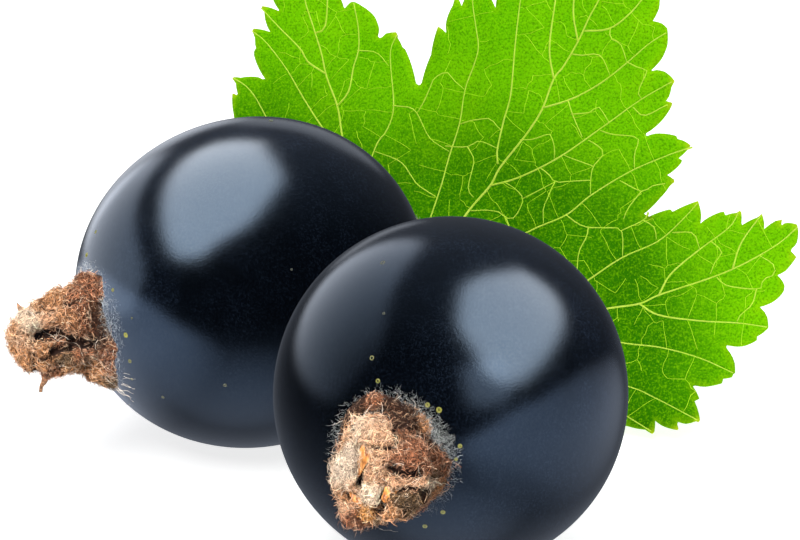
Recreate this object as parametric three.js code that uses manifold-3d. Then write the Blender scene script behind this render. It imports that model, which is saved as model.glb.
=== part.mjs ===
// A blackcurrant sprig at rest on a table: two ripe berries on one fruit stalk, and one lobed, toothed
// leaf on its own stalk, all growing from the spur of a short cut twig.
//
// Millimetres, +Z up, and the table is z = 0. The origin is the middle of the flat spot that the front
// berry rests on. +Y runs from the front berry back to the twig, +X to the right.

import * as THREE from 'three';
import { mergeVertices } from 'three/addons/utils/BufferGeometryUtils.js';
import Module from 'manifold-3d';

// ---- driving dimensions ----------------------------------------------------------------------------

const GAP = 0.25;               // clearance that keeps neighbouring pieces apart

// Each berry is a spheroid round the axis from its stalk to its calyx; axis points out at the calyx.
// girth and reach size the calyx, turn is its rotation round the axis, bend the drift of its tip (x, y, z).
const FRONT_BERRY = {
  centre: [0, 0, 6.9],
  axis: [-0.28, -0.959, 0.042],
  equator: 7.1,
  half: 7.25,
  girth: 1,
  reach: 3.25,
  turn: 0.4,
  bend: [0, 0, -0.3],
};
const BACK_BERRY = {
  centre: [-8.2, 12.45, 6.7],
  axis: [-0.877, -0.471, -0.098],
  equator: 6.85,
  half: 7.45,
  girth: 0.95,
  reach: 3.4,
  turn: 2.1,
  bend: [0, 0, 0.15],
};
const BERRY_SIDES = 36;
const BERRY_RINGS = 20;
const DIMPLE_DEPTH = 0.45;      // hollow where the stalk enters
const DIMPLE_RADIUS = 1.3;

const CALYX_SIDES = 28;
const CALYX_RINGS = 9;
const CALYX_RADII = [2.35, 1.95, 1.8, 1.85, 1.95, 1.85, 1.35];  // from the berry's skin to the tip
const CALYX_CUP = 0.4;          // how far the middle of the tip is drawn in
const SEPALS = 5;
const SEPAL_THICK = 0.48;       // half thickness of a shrivelled sepal, folded on itself
const SEPAL_WIDE = 0.85;        // half width in its middle

const LEAF_BASE = [-2.63, 17.06, 2.41];        // where the petiole meets the blade
const LEAF_YAW = THREE.MathUtils.degToRad(-22);
const LEAF_LEAN = THREE.MathUtils.degToRad(32);        // back from upright
const BLADE_THICK = 0.6;
const BLADE_CELL = 1.5;         // lattice that carries the blade's waves
const DOME = 0.0042;            // the blade bows back on both sides of this line
const DOME_LINE = 3;
const WAVE = 0.22;
const LOW_LOBE = [12.5, -2.4];  // the lobe nearest the table curls up off it
const LOW_LOBE_LIFT = 0.5;
const LOW_LOBE_REACH = 2.6;
const RIB_RISE = 0.46;          // half height of a rib's oval section, through the blade
const RIB_WIDE = 0.3;

const STALK_SIDES = 10;
const FORK = [-1.3, 14.5, 1.0];                // where the strig splits into two pedicels
const SPUR_MOUTH = 27.2;                       // y of the spur's front face

const TWIG_SIDES = 14;
const TWIG_RADIUS = 1.35;
const TWIG_SINK = 0.08;         // depth of the flat that it lies on
const BUD_LENGTH = 3.6;
const BUD_RADIUS = 1.25;

const TABLE = 60;               // side of the block that cuts the resting spots

// ---- leaf margin and ribs, in the blade's own plane ------------------------------------------------
// x to the right and y towards the middle lobe's tip, from the point where the ribs meet. Tooth by
// tooth, anticlockwise from the open base, up the right-hand lobes and down the left.

const BASE_RIGHT = [
  [0.5, -0.6], [2.3, -0.85], [4.4, -1.35], [5.9, -1.35], [7.2, -1.85], [7.7, -1.55], [9.2, -2.2],
  [9.8, -2.05], [11.3, -2.2],
];
const RIGHT_LOBE = [
  [12.55, -2.4], [12.5, -1.75], [13.6, -2.1], [13.45, -1.7], [14.35, -1.6], [14.2, -0.65], [13.5, 0.05],
  [14.3, -0.05], [15.35, 0.75], [15.1, 1.4], [14.7, 1.85], [15.5, 1.95], [16.35, 2.9], [16.15, 3.3],
  [15.75, 3.7], [16.6, 4.15], [16.7, 4.7], [16.2, 5.1], [16.8, 5.45], [17, 6], [16.65, 6.2],
  [16.85, 6.7], [16.85, 7.25], [16.45, 7.35], [16.15, 7.15], [16.1, 7.5], [15.4, 6.95], [15.2, 7.6],
  [14.4, 6.9], [14.2, 7.6], [13.6, 7.45], [12.5, 6.6], [12.55, 7.2], [12.3, 7.75], [11.3, 7.2],
  [10.7, 6.95], [10.25, 6.75],
];
const MIDDLE_LOBE = [
  [10.8, 7.7], [11.2, 8.4], [10.8, 8.5], [11.45, 9.35], [11.75, 10], [10.95, 10.25], [9.55, 10.05],
  [10.25, 10.95], [10.5, 11.65], [10.2, 11.65], [10.4, 12.6], [9.85, 12.9], [9.2, 12.85], [9.75, 13.9],
  [9.65, 14.65], [8.9, 15], [9.35, 16.15], [9.45, 16.8], [8.65, 17.35], [9, 17.85], [8.7, 18.5],
  [7.85, 18.85], [8, 19.4], [7.3, 20.3], [5.65, 19.1], [5.3, 19.5], [4.35, 18.7], [4, 17.7],
  [3.5, 18.15], [2.75, 17.3], [2.65, 16.2], [2.15, 16.7], [1.9, 15.55], [1.95, 14.55], [0.8, 15.85],
  [0.4, 14.45], [0.05, 14.9], [-0.1, 13.85], [0, 13.15], [-0.5, 13.55], [-0.55, 12.5], [-0.65, 11.45],
  [-0.8, 10.7],
];
const LEFT_LOBE = [
  [-1.25, 11.45], [-1.85, 12.3], [-2.35, 13], [-3.1, 12.6], [-3.4, 13.35], [-4.05, 13.9], [-4.6, 14.1],
  [-5, 13.65], [-5.2, 13.9], [-5.3, 14.5], [-5.95, 14.6], [-6.25, 15.35], [-6.8, 15.2], [-7.45, 15.95],
  [-7.9, 15.45], [-7.8, 14.25], [-8.25, 14.5], [-7.75, 13.05], [-8.85, 13.35], [-8.4, 12.75],
  [-7.95, 12.1], [-9.05, 12.3], [-8.7, 11.4], [-7.9, 10.2], [-8.7, 10.25], [-9.55, 10.15], [-9.1, 9.35],
  [-9.1, 8.55],
];
const BASE_LEFT = [
  [-8.75, 7.7], [-9.3, 6.9], [-8.75, 6.3], [-9.1, 5.4], [-8.35, 5.1], [-8.3, 4.1], [-7.5, 4.1],
  [-7.1, 3.1], [-6.2, 3.2], [-5.7, 2.3], [-4.9, 2.4], [-4.2, 1.6], [-2.6, 1], [-1.2, 0.2], [-0.5, -0.45],
];
const MARGIN = [...BASE_RIGHT, ...RIGHT_LOBE, ...MIDDLE_LOBE, ...LEFT_LOBE, ...BASE_LEFT];

const RIBS = [
  { path: [[0.1, -0.2], [1.4, 3], [3.3, 7], [4.6, 9.7], [5.4, 12.4], [6.2, 14.7], [7, 18.7]], steps: 9 },
  { path: [[0.1, -0.1], [3.7, 0.7], [9.5, 2.5], [11.6, 3.4], [14.6, 5], [16.5, 6.5]], steps: 7 },
  { path: [[0, 0], [-1.9, 3.9], [-3.8, 8.3], [-5, 10.6], [-6.2, 12.9], [-7.1, 15]], steps: 7 },
  { path: [[0.3, 0], [3.8, -0.1], [7.9, -0.3], [11.1, -0.6], [13.7, -1.3]], steps: 5 },
  { path: [[0, 0.1], [-3.3, 1.7], [-5.1, 3.4], [-7.6, 6.1]], steps: 4 },
  { path: [[0.6, 1.6], [0.9, 5.3], [1.4, 9.4], [1.5, 12.4], [0.9, 15.2]], steps: 5 },
  { path: [[1.8, 3.4], [4.2, 4.5], [6.9, 6.2], [9.3, 8.5], [11.4, 9.8]], steps: 4 },
  { path: [[3.2, 6.9], [5.3, 8], [7.9, 10.3], [10.2, 12.4]], steps: 4 },
  { path: [[4.9, 10.6], [7.2, 12], [9.5, 14.4]], steps: 3 },
  { path: [[5.2, 1.2], [8.5, 3.7], [11.1, 5.7], [12.3, 7.2]], steps: 4 },
  { path: [[3.3, 7.1], [3.3, 9.8], [3.1, 12.9], [3, 15]], steps: 3 },
  { path: [[10.9, 2.9], [13.6, 2.6], [16.3, 2.7]], steps: 3 },
  { path: [[-2.6, 5.4], [-5.2, 8.9], [-6.9, 10.8], [-8.4, 11.9]], steps: 4 },
  { path: [[-1.2, 2.5], [-2.2, 7.8], [-1.7, 9.8], [-2.3, 12.4]], steps: 4 },
];

// ---- finishes --------------------------------------------------------------------------------------

const skin = new THREE.MeshStandardMaterial({ color: 0x0b0f1d, roughness: 0.3, metalness: 0 });
const driedFlower = new THREE.MeshStandardMaterial({ color: 0x8a6248, roughness: 0.95, metalness: 0 });
const leafGreen = new THREE.MeshStandardMaterial({ color: 0x57a80c, roughness: 0.55, metalness: 0 });
const stalkGreen = new THREE.MeshStandardMaterial({ color: 0x86a83e, roughness: 0.6, metalness: 0 });
const bark = new THREE.MeshStandardMaterial({ color: 0x7d6a52, roughness: 0.9, metalness: 0 });

// ---- solids: three.js geometry in and out of manifold-3d -------------------------------------------

const wasm = await Module();
wasm.setup();

function toSolid(geometry) {
  const bare = geometry.clone();
  bare.deleteAttribute('normal');
  bare.deleteAttribute('uv');
  const merged = mergeVertices(bare, 1e-4);
  const index = merged.index.array;
  const triangles = [];
  for (let i = 0; i < index.length; i += 3) {
    const [a, b, c] = [index[i], index[i + 1], index[i + 2]];
    if (a !== b && b !== c && c !== a) {
      triangles.push(a, b, c);
    }
  }
  const vertProperties = new Float32Array(merged.attributes.position.array);
  const triVerts = new Uint32Array(triangles);
  return new wasm.Manifold(new wasm.Mesh({ numProp: 3, vertProperties, triVerts }));
}

function toGeometry(solid) {
  const mesh = solid.getMesh();
  const geometry = new THREE.BufferGeometry();
  geometry.setAttribute('position', new THREE.BufferAttribute(mesh.vertProperties, 3));
  geometry.setIndex(new THREE.BufferAttribute(mesh.triVerts, 1));
  geometry.computeVertexNormals();
  return geometry;
}

function join(geometries) {
  const [first, ...others] = geometries.map(toSolid);
  return others.reduce((whole, piece) => whole.add(piece), first);
}

// Cuts away what is lower than the table, whose height is given in the solid's own frame.
function cutByTable(solid, height) {
  const block = new THREE.BoxGeometry(TABLE, TABLE, TABLE);
  block.translate(0, 0, height - TABLE / 2);
  return solid.subtract(toSolid(block));
}

function namedMesh(name, geometry, material) {
  const mesh = new THREE.Mesh(geometry, material);
  mesh.name = name;
  return mesh;
}

// ---- shapes ----------------------------------------------------------------------------------------

const vector = (point) => new THREE.Vector3(...point);

// A closed tube along a smooth curve. radii are read evenly from start to end, and flat squeezes the
// section across the direction that wide points along.
function taperedTube(points, radii, { sides = STALK_SIDES, steps = 12, flat = 1, wide = null } = {}) {
  const curve = new THREE.CatmullRomCurve3(points.map(vector));
  const frames = curve.computeFrenetFrames(steps);
  const tube = new THREE.CylinderGeometry(1, 1, 1, sides, steps);
  const place = tube.attributes.position;
  for (let i = 0; i < place.count; i++) {
    const along = 0.5 - place.getY(i);
    const ring = Math.round(along * steps);
    const across = wide ? vector(wide) : frames.normals[ring].clone();
    const tangent = frames.tangents[ring];
    across.addScaledVector(tangent, -across.dot(tangent)).normalize();
    const third = new THREE.Vector3().crossVectors(tangent, across);
    const radius = between(radii, along);
    const point = curve.getPointAt(along);
    point.addScaledVector(across, place.getX(i) * radius);
    point.addScaledVector(third, place.getZ(i) * radius * flat);
    place.setXYZ(i, point.x, point.y, point.z);
  }
  return tube;
}

// Reads an evenly spaced list at a fraction from 0 to 1.
function between(values, fraction) {
  const place = fraction * (values.length - 1);
  const low = Math.min(Math.floor(place), values.length - 2);
  return THREE.MathUtils.lerp(values[low], values[low + 1], place - low);
}

function turnTo(axis) {
  return new THREE.Quaternion().setFromUnitVectors(new THREE.Vector3(0, 1, 0), vector(axis).normalize());
}

function berry(name, { centre, axis, equator, half }) {
  const profile = [];
  for (let i = 0; i <= BERRY_RINGS; i++) {
    const latitude = Math.PI * (i / BERRY_RINGS - 0.5);
    const radius = i === 0 || i === BERRY_RINGS ? 0 : equator * Math.cos(latitude);
    const hollow = latitude < 0 ? DIMPLE_DEPTH * Math.exp(-((radius / DIMPLE_RADIUS) ** 2)) : 0;
    profile.push(new THREE.Vector2(radius, half * Math.sin(latitude) + hollow));
  }
  const body = new THREE.LatheGeometry(profile, BERRY_SIDES);
  body.applyQuaternion(turnTo(axis));
  const mesh = namedMesh(name, toGeometry(cutByTable(toSolid(body), -centre[2])), skin);
  mesh.position.set(...centre);
  return mesh;
}

// The withered flower tube: pleated and ragged, its root following the berry's skin.
function calyxTube({ half, equator, girth, reach, turn }) {
  const tube = new THREE.CylinderGeometry(1, 1, 1, CALYX_SIDES, CALYX_RINGS);
  const place = tube.attributes.position;
  for (let i = 0; i < place.count; i++) {
    const along = place.getY(i) + 0.5;
    const onRim = Math.hypot(place.getX(i), place.getZ(i)) > 0.5;
    const angle = Math.atan2(place.getX(i), place.getZ(i)) + turn;
    const pleats = 0.13 * Math.sin(4 * angle + 2.2 * along) + 0.07 * Math.sin(9 * angle - 3 * along);
    const folded = 1 + pleats * Math.min(1, 2 * along + 0.3);
    const radius = onRim ? girth * between(CALYX_RADII, along) * folded : 0;
    const skinHeight = (half + GAP) * Math.sqrt(1 - (radius / (equator + GAP)) ** 2);
    const ragged = onRim ? 0.25 * Math.sin(4 * angle) : -CALYX_CUP;
    const tip = half + reach + ragged;
    const height = THREE.MathUtils.lerp(skinHeight, tip, along);
    const x = radius * Math.sin(angle - turn);
    const z = radius * Math.cos(angle - turn);
    place.setXYZ(i, x, height, z);
  }
  return tube;
}

// A shrivelled sepal: a thick fold that rises from the tube's side and closes over its end.
function sepal({ half, girth, reach, turn }, number) {
  const angle = turn + (number * 2 * Math.PI) / SEPALS;
  const out = [Math.sin(angle), 0, Math.cos(angle)];
  const side = [Math.cos(angle), 0, -Math.sin(angle)];
  const open = 0.3 * Math.sin(2.3 * number + turn);
  const steps = [[1.35, -1.5, 0], [1.5, -0.5, 0.1], [1.3 + open, 0.2, 0.3], [0.7 + 2.5 * open, 0.5, 0.5]];
  const points = steps.map(([away, up, aside]) => [
    (out[0] * away + side[0] * aside) * girth,
    half + reach + up,
    (out[2] * away + side[2] * aside) * girth,
  ]);
  const radii = [0.6, SEPAL_WIDE, SEPAL_WIDE, 0.5];
  return taperedTube(points, radii, { sides: 8, steps: 5, flat: SEPAL_THICK / SEPAL_WIDE, wide: side });
}

function calyx(name, spec) {
  const pieces = [calyxTube(spec)];
  for (let number = 0; number < SEPALS; number++) {
    pieces.push(sepal(spec, number));
  }
  const turn = turnTo(spec.axis);
  for (const piece of pieces) {
    piece.applyQuaternion(turn);
    bendTip(piece, spec);
  }
  const mesh = namedMesh(name, toGeometry(join(pieces)), driedFlower);
  mesh.position.set(...spec.centre);
  return mesh;
}

// Leans the calyx over, more and more towards its tip.
function bendTip(geometry, { axis, half, reach, bend }) {
  const along = vector(axis).normalize();
  const drift = vector(bend);
  const place = geometry.attributes.position;
  const point = new THREE.Vector3();
  for (let i = 0; i < place.count; i++) {
    point.fromBufferAttribute(place, i);
    const share = Math.max(0, (point.dot(along) - half) / reach);
    point.addScaledVector(drift, share * share);
    place.setXYZ(i, point.x, point.y, point.z);
  }
}

// Height of the blade's middle surface over its own plane.
function bladeRise(x, y) {
  const bow = -DOME * (x - DOME_LINE) ** 2;
  const waves = WAVE * Math.sin(0.62 * x + 0.5) * Math.sin(0.55 * y + 0.8);
  const away = ((x - LOW_LOBE[0]) ** 2 + (y - LOW_LOBE[1]) ** 2) / LOW_LOBE_REACH ** 2;
  return bow + waves + LOW_LOBE_LIFT * Math.exp(-away);
}

// A waved slab over a rectangle, split into triangles alike on both faces.
function wavedSlab(low, high) {
  const columns = Math.ceil((high.x - low.x) / BLADE_CELL);
  const rows = Math.ceil((high.y - low.y) / BLADE_CELL);
  const positions = [];
  for (const face of [1, -1]) {
    for (let row = 0; row <= rows; row++) {
      for (let column = 0; column <= columns; column++) {
        const x = low.x + column * BLADE_CELL;
        const y = low.y + row * BLADE_CELL;
        positions.push(x, y, bladeRise(x, y) + (face * BLADE_THICK) / 2);
      }
    }
  }
  const back = (rows + 1) * (columns + 1);
  const at = (row, column) => row * (columns + 1) + column;
  const index = [];
  const quad = (a, b, c, d) => index.push(a, b, c, a, c, d);
  for (let row = 0; row < rows; row++) {
    for (let column = 0; column < columns; column++) {
      const [a, b] = [at(row, column), at(row, column + 1)];
      const [c, d] = [at(row + 1, column + 1), at(row + 1, column)];
      quad(a, b, c, d);
      quad(back + a, back + d, back + c, back + b);
    }
  }
  for (let column = 0; column < columns; column++) {
    const [a, b] = [at(0, column), at(0, column + 1)];
    const [c, d] = [at(rows, column), at(rows, column + 1)];
    quad(back + a, back + b, b, a);
    quad(c, d, back + d, back + c);
  }
  for (let row = 0; row < rows; row++) {
    const [a, b] = [at(row, 0), at(row + 1, 0)];
    const [c, d] = [at(row, columns), at(row + 1, columns)];
    quad(a, b, back + b, back + a);
    quad(back + c, back + d, d, c);
  }
  const slab = new THREE.BufferGeometry();
  slab.setAttribute('position', new THREE.Float32BufferAttribute(positions, 3));
  slab.setIndex(index);
  return slab;
}

function rib({ path, steps }) {
  const points = path.map(([x, y]) => [x, y, bladeRise(x, y)]);
  const radii = [RIB_RISE, RIB_RISE * 0.9, RIB_RISE * 0.8];
  const shape = { sides: 6, steps, flat: RIB_WIDE / RIB_RISE, wide: [0, 0, 1] };
  return taperedTube(points, radii, shape);
}

function leafBlade() {
  const outline = new THREE.Shape(MARGIN.map(([x, y]) => new THREE.Vector2(x, y)));
  const box = new THREE.Box2().setFromPoints(outline.getPoints());
  const slab = toSolid(wavedSlab(box.min.subScalar(BLADE_CELL), box.max.addScalar(BLADE_CELL)));
  const prism = new THREE.ExtrudeGeometry(outline, { depth: 8, bevelEnabled: false });
  prism.translate(0, 0, -4);
  const blade = slab.intersect(toSolid(prism));
  const ribbed = RIBS.map(rib).map(toSolid).reduce((whole, piece) => whole.add(piece), blade);
  const mesh = namedMesh('leaf_blade', toGeometry(ribbed), leafGreen);
  mesh.position.set(...LEAF_BASE);
  mesh.rotation.set(Math.PI / 2 - LEAF_LEAN, 0, LEAF_YAW, 'ZXY');
  return mesh;
}

// The point just off a berry's stalk end, and one further out in line with it.
function stalkEnd({ centre, axis, half }, beyond) {
  const away = half - DIMPLE_DEPTH + GAP + beyond;
  return vector(centre).addScaledVector(vector(axis).normalize(), -away).toArray();
}

function strig() {
  const rachis = [[-0.6, SPUR_MOUTH - GAP, 1.25], [-0.9, 22.5, 0.9], [-1.2, 17.5, 0.75], FORK];
  const toFront = [FORK, [0.4, 12.5, 2.2], [2.1, 10.6, 4.8], stalkEnd(FRONT_BERRY, 1.4)];
  const toBack = [FORK, [-0.6, 15.1, 2.6], [0, 16.2, 4.4], [-0.2, 16.4, 6.2], stalkEnd(BACK_BERRY, 0.7)];
  const pedicel = [0.42, 0.33, 0.33, 0.36, 0.62];
  return namedMesh('strig', toGeometry(join([
    taperedTube(rachis, [0.75, 0.55, 0.5, 0.52], { steps: 12 }),
    taperedTube([...toFront, stalkEnd(FRONT_BERRY, 0)], pedicel, { steps: 14 }),
    taperedTube([...toBack, stalkEnd(BACK_BERRY, 0)], pedicel, { steps: 14 }),
    new THREE.SphereGeometry(0.58, 10, 8).translate(...FORK),
  ])), stalkGreen);
}

function petiole() {
  const points = [
    [-2.38, 17.75, 1.95], [-2.7, 18.9, 1.75], [-3.4, 21.5, 1.45], [-3.5, 24.5, 1.3],
    [-3, SPUR_MOUTH - GAP, 1.35],
  ];
  return namedMesh('petiole', taperedTube(points, [0.42, 0.45, 0.48, 0.55, 0.85], { steps: 14 }), stalkGreen);
}

function bud(length, radius) {
  const profile = [[0, -0.1], [0.62, 0], [0.92, 0.18], [1, 0.38], [0.84, 0.62], [0.48, 0.84], [0, 1]];
  const points = profile.map(([across, up]) => new THREE.Vector2(across * radius, up * length));
  return new THREE.LatheGeometry(points, 12);
}

function twig() {
  const axisHeight = TWIG_RADIUS - TWIG_SINK;
  const stem = taperedTube(
    [
      [-11, 30.1, axisHeight + 0.1],
      [-6, 29.6, axisHeight],
      [-1, 29.4, axisHeight],
      [4.5, 30, axisHeight - 0.05],
    ],
    [1.45, TWIG_RADIUS, 1.5, TWIG_RADIUS, 1.2],
    { sides: TWIG_SIDES, steps: 16 },
  );
  const spurHeight = 1.35;
  const spur = taperedTube(
    [[-1.8, 29.4, spurHeight], [-1.8, 28.4, spurHeight], [-1.8, SPUR_MOUTH, spurHeight]],
    [1.3, 1.1, 1.35, 1.15, 1.25],
    { sides: TWIG_SIDES, steps: 8, flat: 1.6, wide: [0, 0, 1] },
  );
  const endBud = bud(BUD_LENGTH, BUD_RADIUS);
  endBud.applyQuaternion(turnTo([0.96, 0.12, 0.12]));
  endBud.translate(4.3, 30, axisHeight);
  const sideBud = bud(BUD_LENGTH * 0.65, BUD_RADIUS * 0.6);
  sideBud.applyQuaternion(turnTo([0.75, 0.1, 0.65]));
  sideBud.translate(-6.9, 29.7, axisHeight + 1.05);
  const cutter = new THREE.BoxGeometry(4, 8, 8);
  cutter.rotateZ(0.5);
  cutter.translate(-12.2, 30.1, axisHeight);
  const whole = join([stem, spur, endBud, sideBud]).subtract(toSolid(cutter));
  return namedMesh('twig', toGeometry(cutByTable(whole, 0)), bark);
}

// ---- the sprig -------------------------------------------------------------------------------------

const sprig = new THREE.Group();
sprig.add(
  berry('berry_front', FRONT_BERRY),
  calyx('calyx_front', FRONT_BERRY),
  berry('berry_back', BACK_BERRY),
  calyx('calyx_back', BACK_BERRY),
  strig(),
  petiole(),
  leafBlade(),
  twig(),
);

export default sprig;
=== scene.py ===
"""A blackcurrant sprig at rest on a table: two ripe berries, their withered flowers, a leaf and a twig.

Sizes are in millimetres in the part's own frame, +Z up with the table at z = 0, and become metres where
a mesh is made. The measures of fruit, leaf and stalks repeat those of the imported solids.
"""
import math

import bpy
import numpy as np
from mathutils import Matrix, Vector, noise
from mathutils.bvhtree import BVHTree
from mathutils.geometry import delaunay_2d_cdt


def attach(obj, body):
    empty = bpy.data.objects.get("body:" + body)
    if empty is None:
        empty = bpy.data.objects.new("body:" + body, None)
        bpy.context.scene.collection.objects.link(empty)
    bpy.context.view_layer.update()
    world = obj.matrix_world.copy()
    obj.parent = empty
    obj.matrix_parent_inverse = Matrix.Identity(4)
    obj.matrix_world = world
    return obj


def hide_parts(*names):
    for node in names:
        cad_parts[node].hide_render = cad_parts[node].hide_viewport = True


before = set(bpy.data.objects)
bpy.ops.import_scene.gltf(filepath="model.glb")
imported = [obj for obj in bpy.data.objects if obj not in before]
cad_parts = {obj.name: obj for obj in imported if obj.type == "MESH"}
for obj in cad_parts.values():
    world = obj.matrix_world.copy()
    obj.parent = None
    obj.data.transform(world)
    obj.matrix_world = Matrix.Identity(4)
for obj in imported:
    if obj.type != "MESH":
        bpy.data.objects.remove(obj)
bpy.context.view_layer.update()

MM = 0.001
SEED = 20
TURN = 2 * math.pi
TINY = 1e-12


# ---- measures shared with the solids ----

DIMPLE_DEPTH = 0.45
DIMPLE_RADIUS = 1.3
LEAF_BASE = (-2.63, 17.06, 2.41)
LEAF_YAW = math.radians(-22)
LEAF_LEAN = math.radians(32)
DOME, DOME_LINE = 0.0042, 3
# the blade's waves: their height, and how fast and from what phase they run along each of its axes
WAVE, WAVE_ACROSS, WAVE_UP = 0.22, (0.62, 0.5), (0.55, 0.8)
LOW_LOBE, LOW_LOBE_LIFT, LOW_LOBE_REACH = (12.5, -2.4), 0.5, 2.6

# The leaf's margin, tooth by tooth, anticlockwise from its open base: x and y in turn, as in the veins.
MARGIN = np.reshape([
    0.5, -0.6, 2.3, -0.85, 4.4, -1.35, 5.9, -1.35, 7.2, -1.85, 7.7, -1.55, 9.2, -2.2, 9.8, -2.05, 11.4, -2.25,
    12.17, -2.28, 12.5, -2.41, 12.58, -2.31, 12.53, -1.84, 12.82, -1.99, 12.98, -2.03, 13.51, -2.07,
    13.56, -2.02, 13.47, -1.82, 13.48, -1.73, 13.82, -1.75, 14.2, -1.56, 14.29, -1.58, 14.32, -1.55,
    14.34, -1.48, 14.3, -1.35, 13.96, -0.73, 14.11, -0.61, 14.12, -0.57, 13.76, -0.12, 13.84, -0.08,
    14.25, -0.05, 14.88, 0.23, 14.89, 0.43, 15.22, 0.56, 15.25, 0.71, 15.31, 0.77, 15.21, 1.18, 15.08, 1.41,
    14.76, 1.74, 14.74, 1.82, 14.76, 1.85, 15.05, 1.86, 15.37, 1.92, 15.68, 2.09, 15.92, 2.29, 15.9, 2.44,
    16.11, 2.63, 16.27, 2.83, 16.3, 2.92, 16.18, 3.32, 16.04, 3.51, 15.81, 3.68, 16.28, 3.95, 16.53, 4.21,
    16.69, 4.5, 16.69, 4.71, 16.61, 4.86, 16.32, 5.11, 16.62, 5.33, 16.98, 5.98, 16.71, 6.19, 16.73, 6.31,
    16.84, 6.44, 16.9, 6.61, 16.87, 7.03, 16.75, 7.34, 16.36, 7.35, 16.21, 7.29, 16.13, 7.2, 16.09, 7.25,
    16.08, 7.44, 15.82, 7.34, 15.4, 6.92, 15.35, 7.18, 15.17, 7.56, 15.03, 7.39, 14.41, 6.96, 14.36, 7.05,
    14.26, 7.51, 14.19, 7.56, 14.08, 7.46, 13.62, 7.29, 13.57, 7.3, 13.5, 7.42, 13.39, 7.4, 12.85, 7.06,
    12.57, 6.76, 12.54, 7.15, 12.29, 7.71, 11.32, 7.1, 11.28, 7.1, 11.21, 7.17, 11.13, 7.16, 10.37, 6.72,
    10.13, 6.8, 10.66, 7.57, 10.97, 8.14, 11.14, 8.35, 11.11, 8.45, 10.78, 8.59, 11.01, 8.8, 11.29, 9.19,
    11.31, 9.3, 11.15, 9.37, 11.45, 9.74, 11.57, 9.98, 11.27, 10.11, 10.97, 10.15, 10.9, 10.26, 10.83, 10.28,
    10.17, 10.27, 9.96, 10.23, 9.65, 10.08, 9.57, 10.12, 9.58, 10.2, 9.9, 10.5, 10.05, 10.68, 10.34, 11.17,
    10.45, 11.45, 10.47, 11.57, 10.45, 11.63, 10.17, 11.67, 10.27, 11.87, 10.3, 12.29, 10.39, 12.56,
    10.19, 12.73, 9.87, 12.9, 9.5, 12.93, 9.29, 12.86, 9.25, 12.9, 9.59, 13.39, 9.7, 13.75, 9.74, 14.09,
    9.58, 14.77, 9.31, 14.94, 8.88, 14.99, 9.05, 15.56, 9.01, 15.92, 9.35, 16.15, 9.45, 16.8, 8.65, 17.35,
    9, 17.85, 8.7, 18.5, 7.85, 18.85, 8, 19.4, 7.3, 20.3, 5.65, 19.1, 5.3, 19.5, 4.35, 18.7, 4, 17.7,
    3.5, 18.15, 2.75, 17.3, 2.65, 16.2, 2.15, 16.7, 1.9, 15.55, 1.95, 14.55, 0.8, 15.85, 0.4, 14.45,
    0.05, 14.9, 0, 14.69, -0.01, 14.44, -0.13, 14.01, -0.15, 13.6, -0.05, 13.26, -0.06, 13.23, -0.1, 13.25,
    -0.45, 13.45, -0.5, 13.43, -0.55, 12.2, -0.72, 10.97, -0.75, 10.88, -0.83, 10.83, -0.99, 10.92,
    -1.11, 11.17, -1.84, 12.33, -1.99, 12.41, -2.3, 12.78, -2.36, 12.94, -2.43, 13.02, -2.89, 12.91,
    -3.04, 12.72, -3.15, 12.68, -3.24, 12.76, -3.25, 13.06, -3.4, 13.35, -3.58, 13.59, -3.74, 13.71,
    -4.21, 13.95, -4.58, 14.08, -4.71, 14.07, -4.79, 14.02, -4.97, 13.75, -5.04, 13.8, -5.21, 14.08,
    -5.3, 14.5, -5.95, 14.6, -6.25, 15.35, -6.8, 15.2, -7.45, 15.95, -7.9, 15.45, -7.8, 14.25, -8.25, 14.5,
    -8.28, 13.67, -7.92, 13.28, -7.9, 13.22, -8.6, 13.35, -8.73, 13.35, -8.75, 13.31, -8.57, 13.1,
    -8.41, 12.68, -8.11, 12.27, -8.91, 12.33, -8.96, 12.26, -8.77, 11.92, -8.7, 11.63, -8.63, 11.51,
    -8.7, 11.34, -8.67, 11.19, -8.41, 10.75, -7.96, 10.24, -8.06, 10.21, -8.26, 10.27, -8.65, 10.26,
    -9.12, 10.16, -9.45, 10.15, -9.53, 10.1, -9.31, 9.89, -9.14, 9.45, -9.17, 9.4, -9.32, 9.45, -9.39, 9.42,
    -9.3, 8.95, -9.2, 8.66, -8.75, 7.7, -9.3, 6.9, -8.75, 6.3, -9.1, 5.4, -8.35, 5.1, -8.3, 4.1, -7.5, 4.1,
    -7.1, 3.1, -6.2, 3.2, -5.7, 2.3, -4.9, 2.4, -4.2, 1.6, -2.6, 1, -1.2, 0.2, -0.5, -0.45
], (-1, 2))

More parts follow.
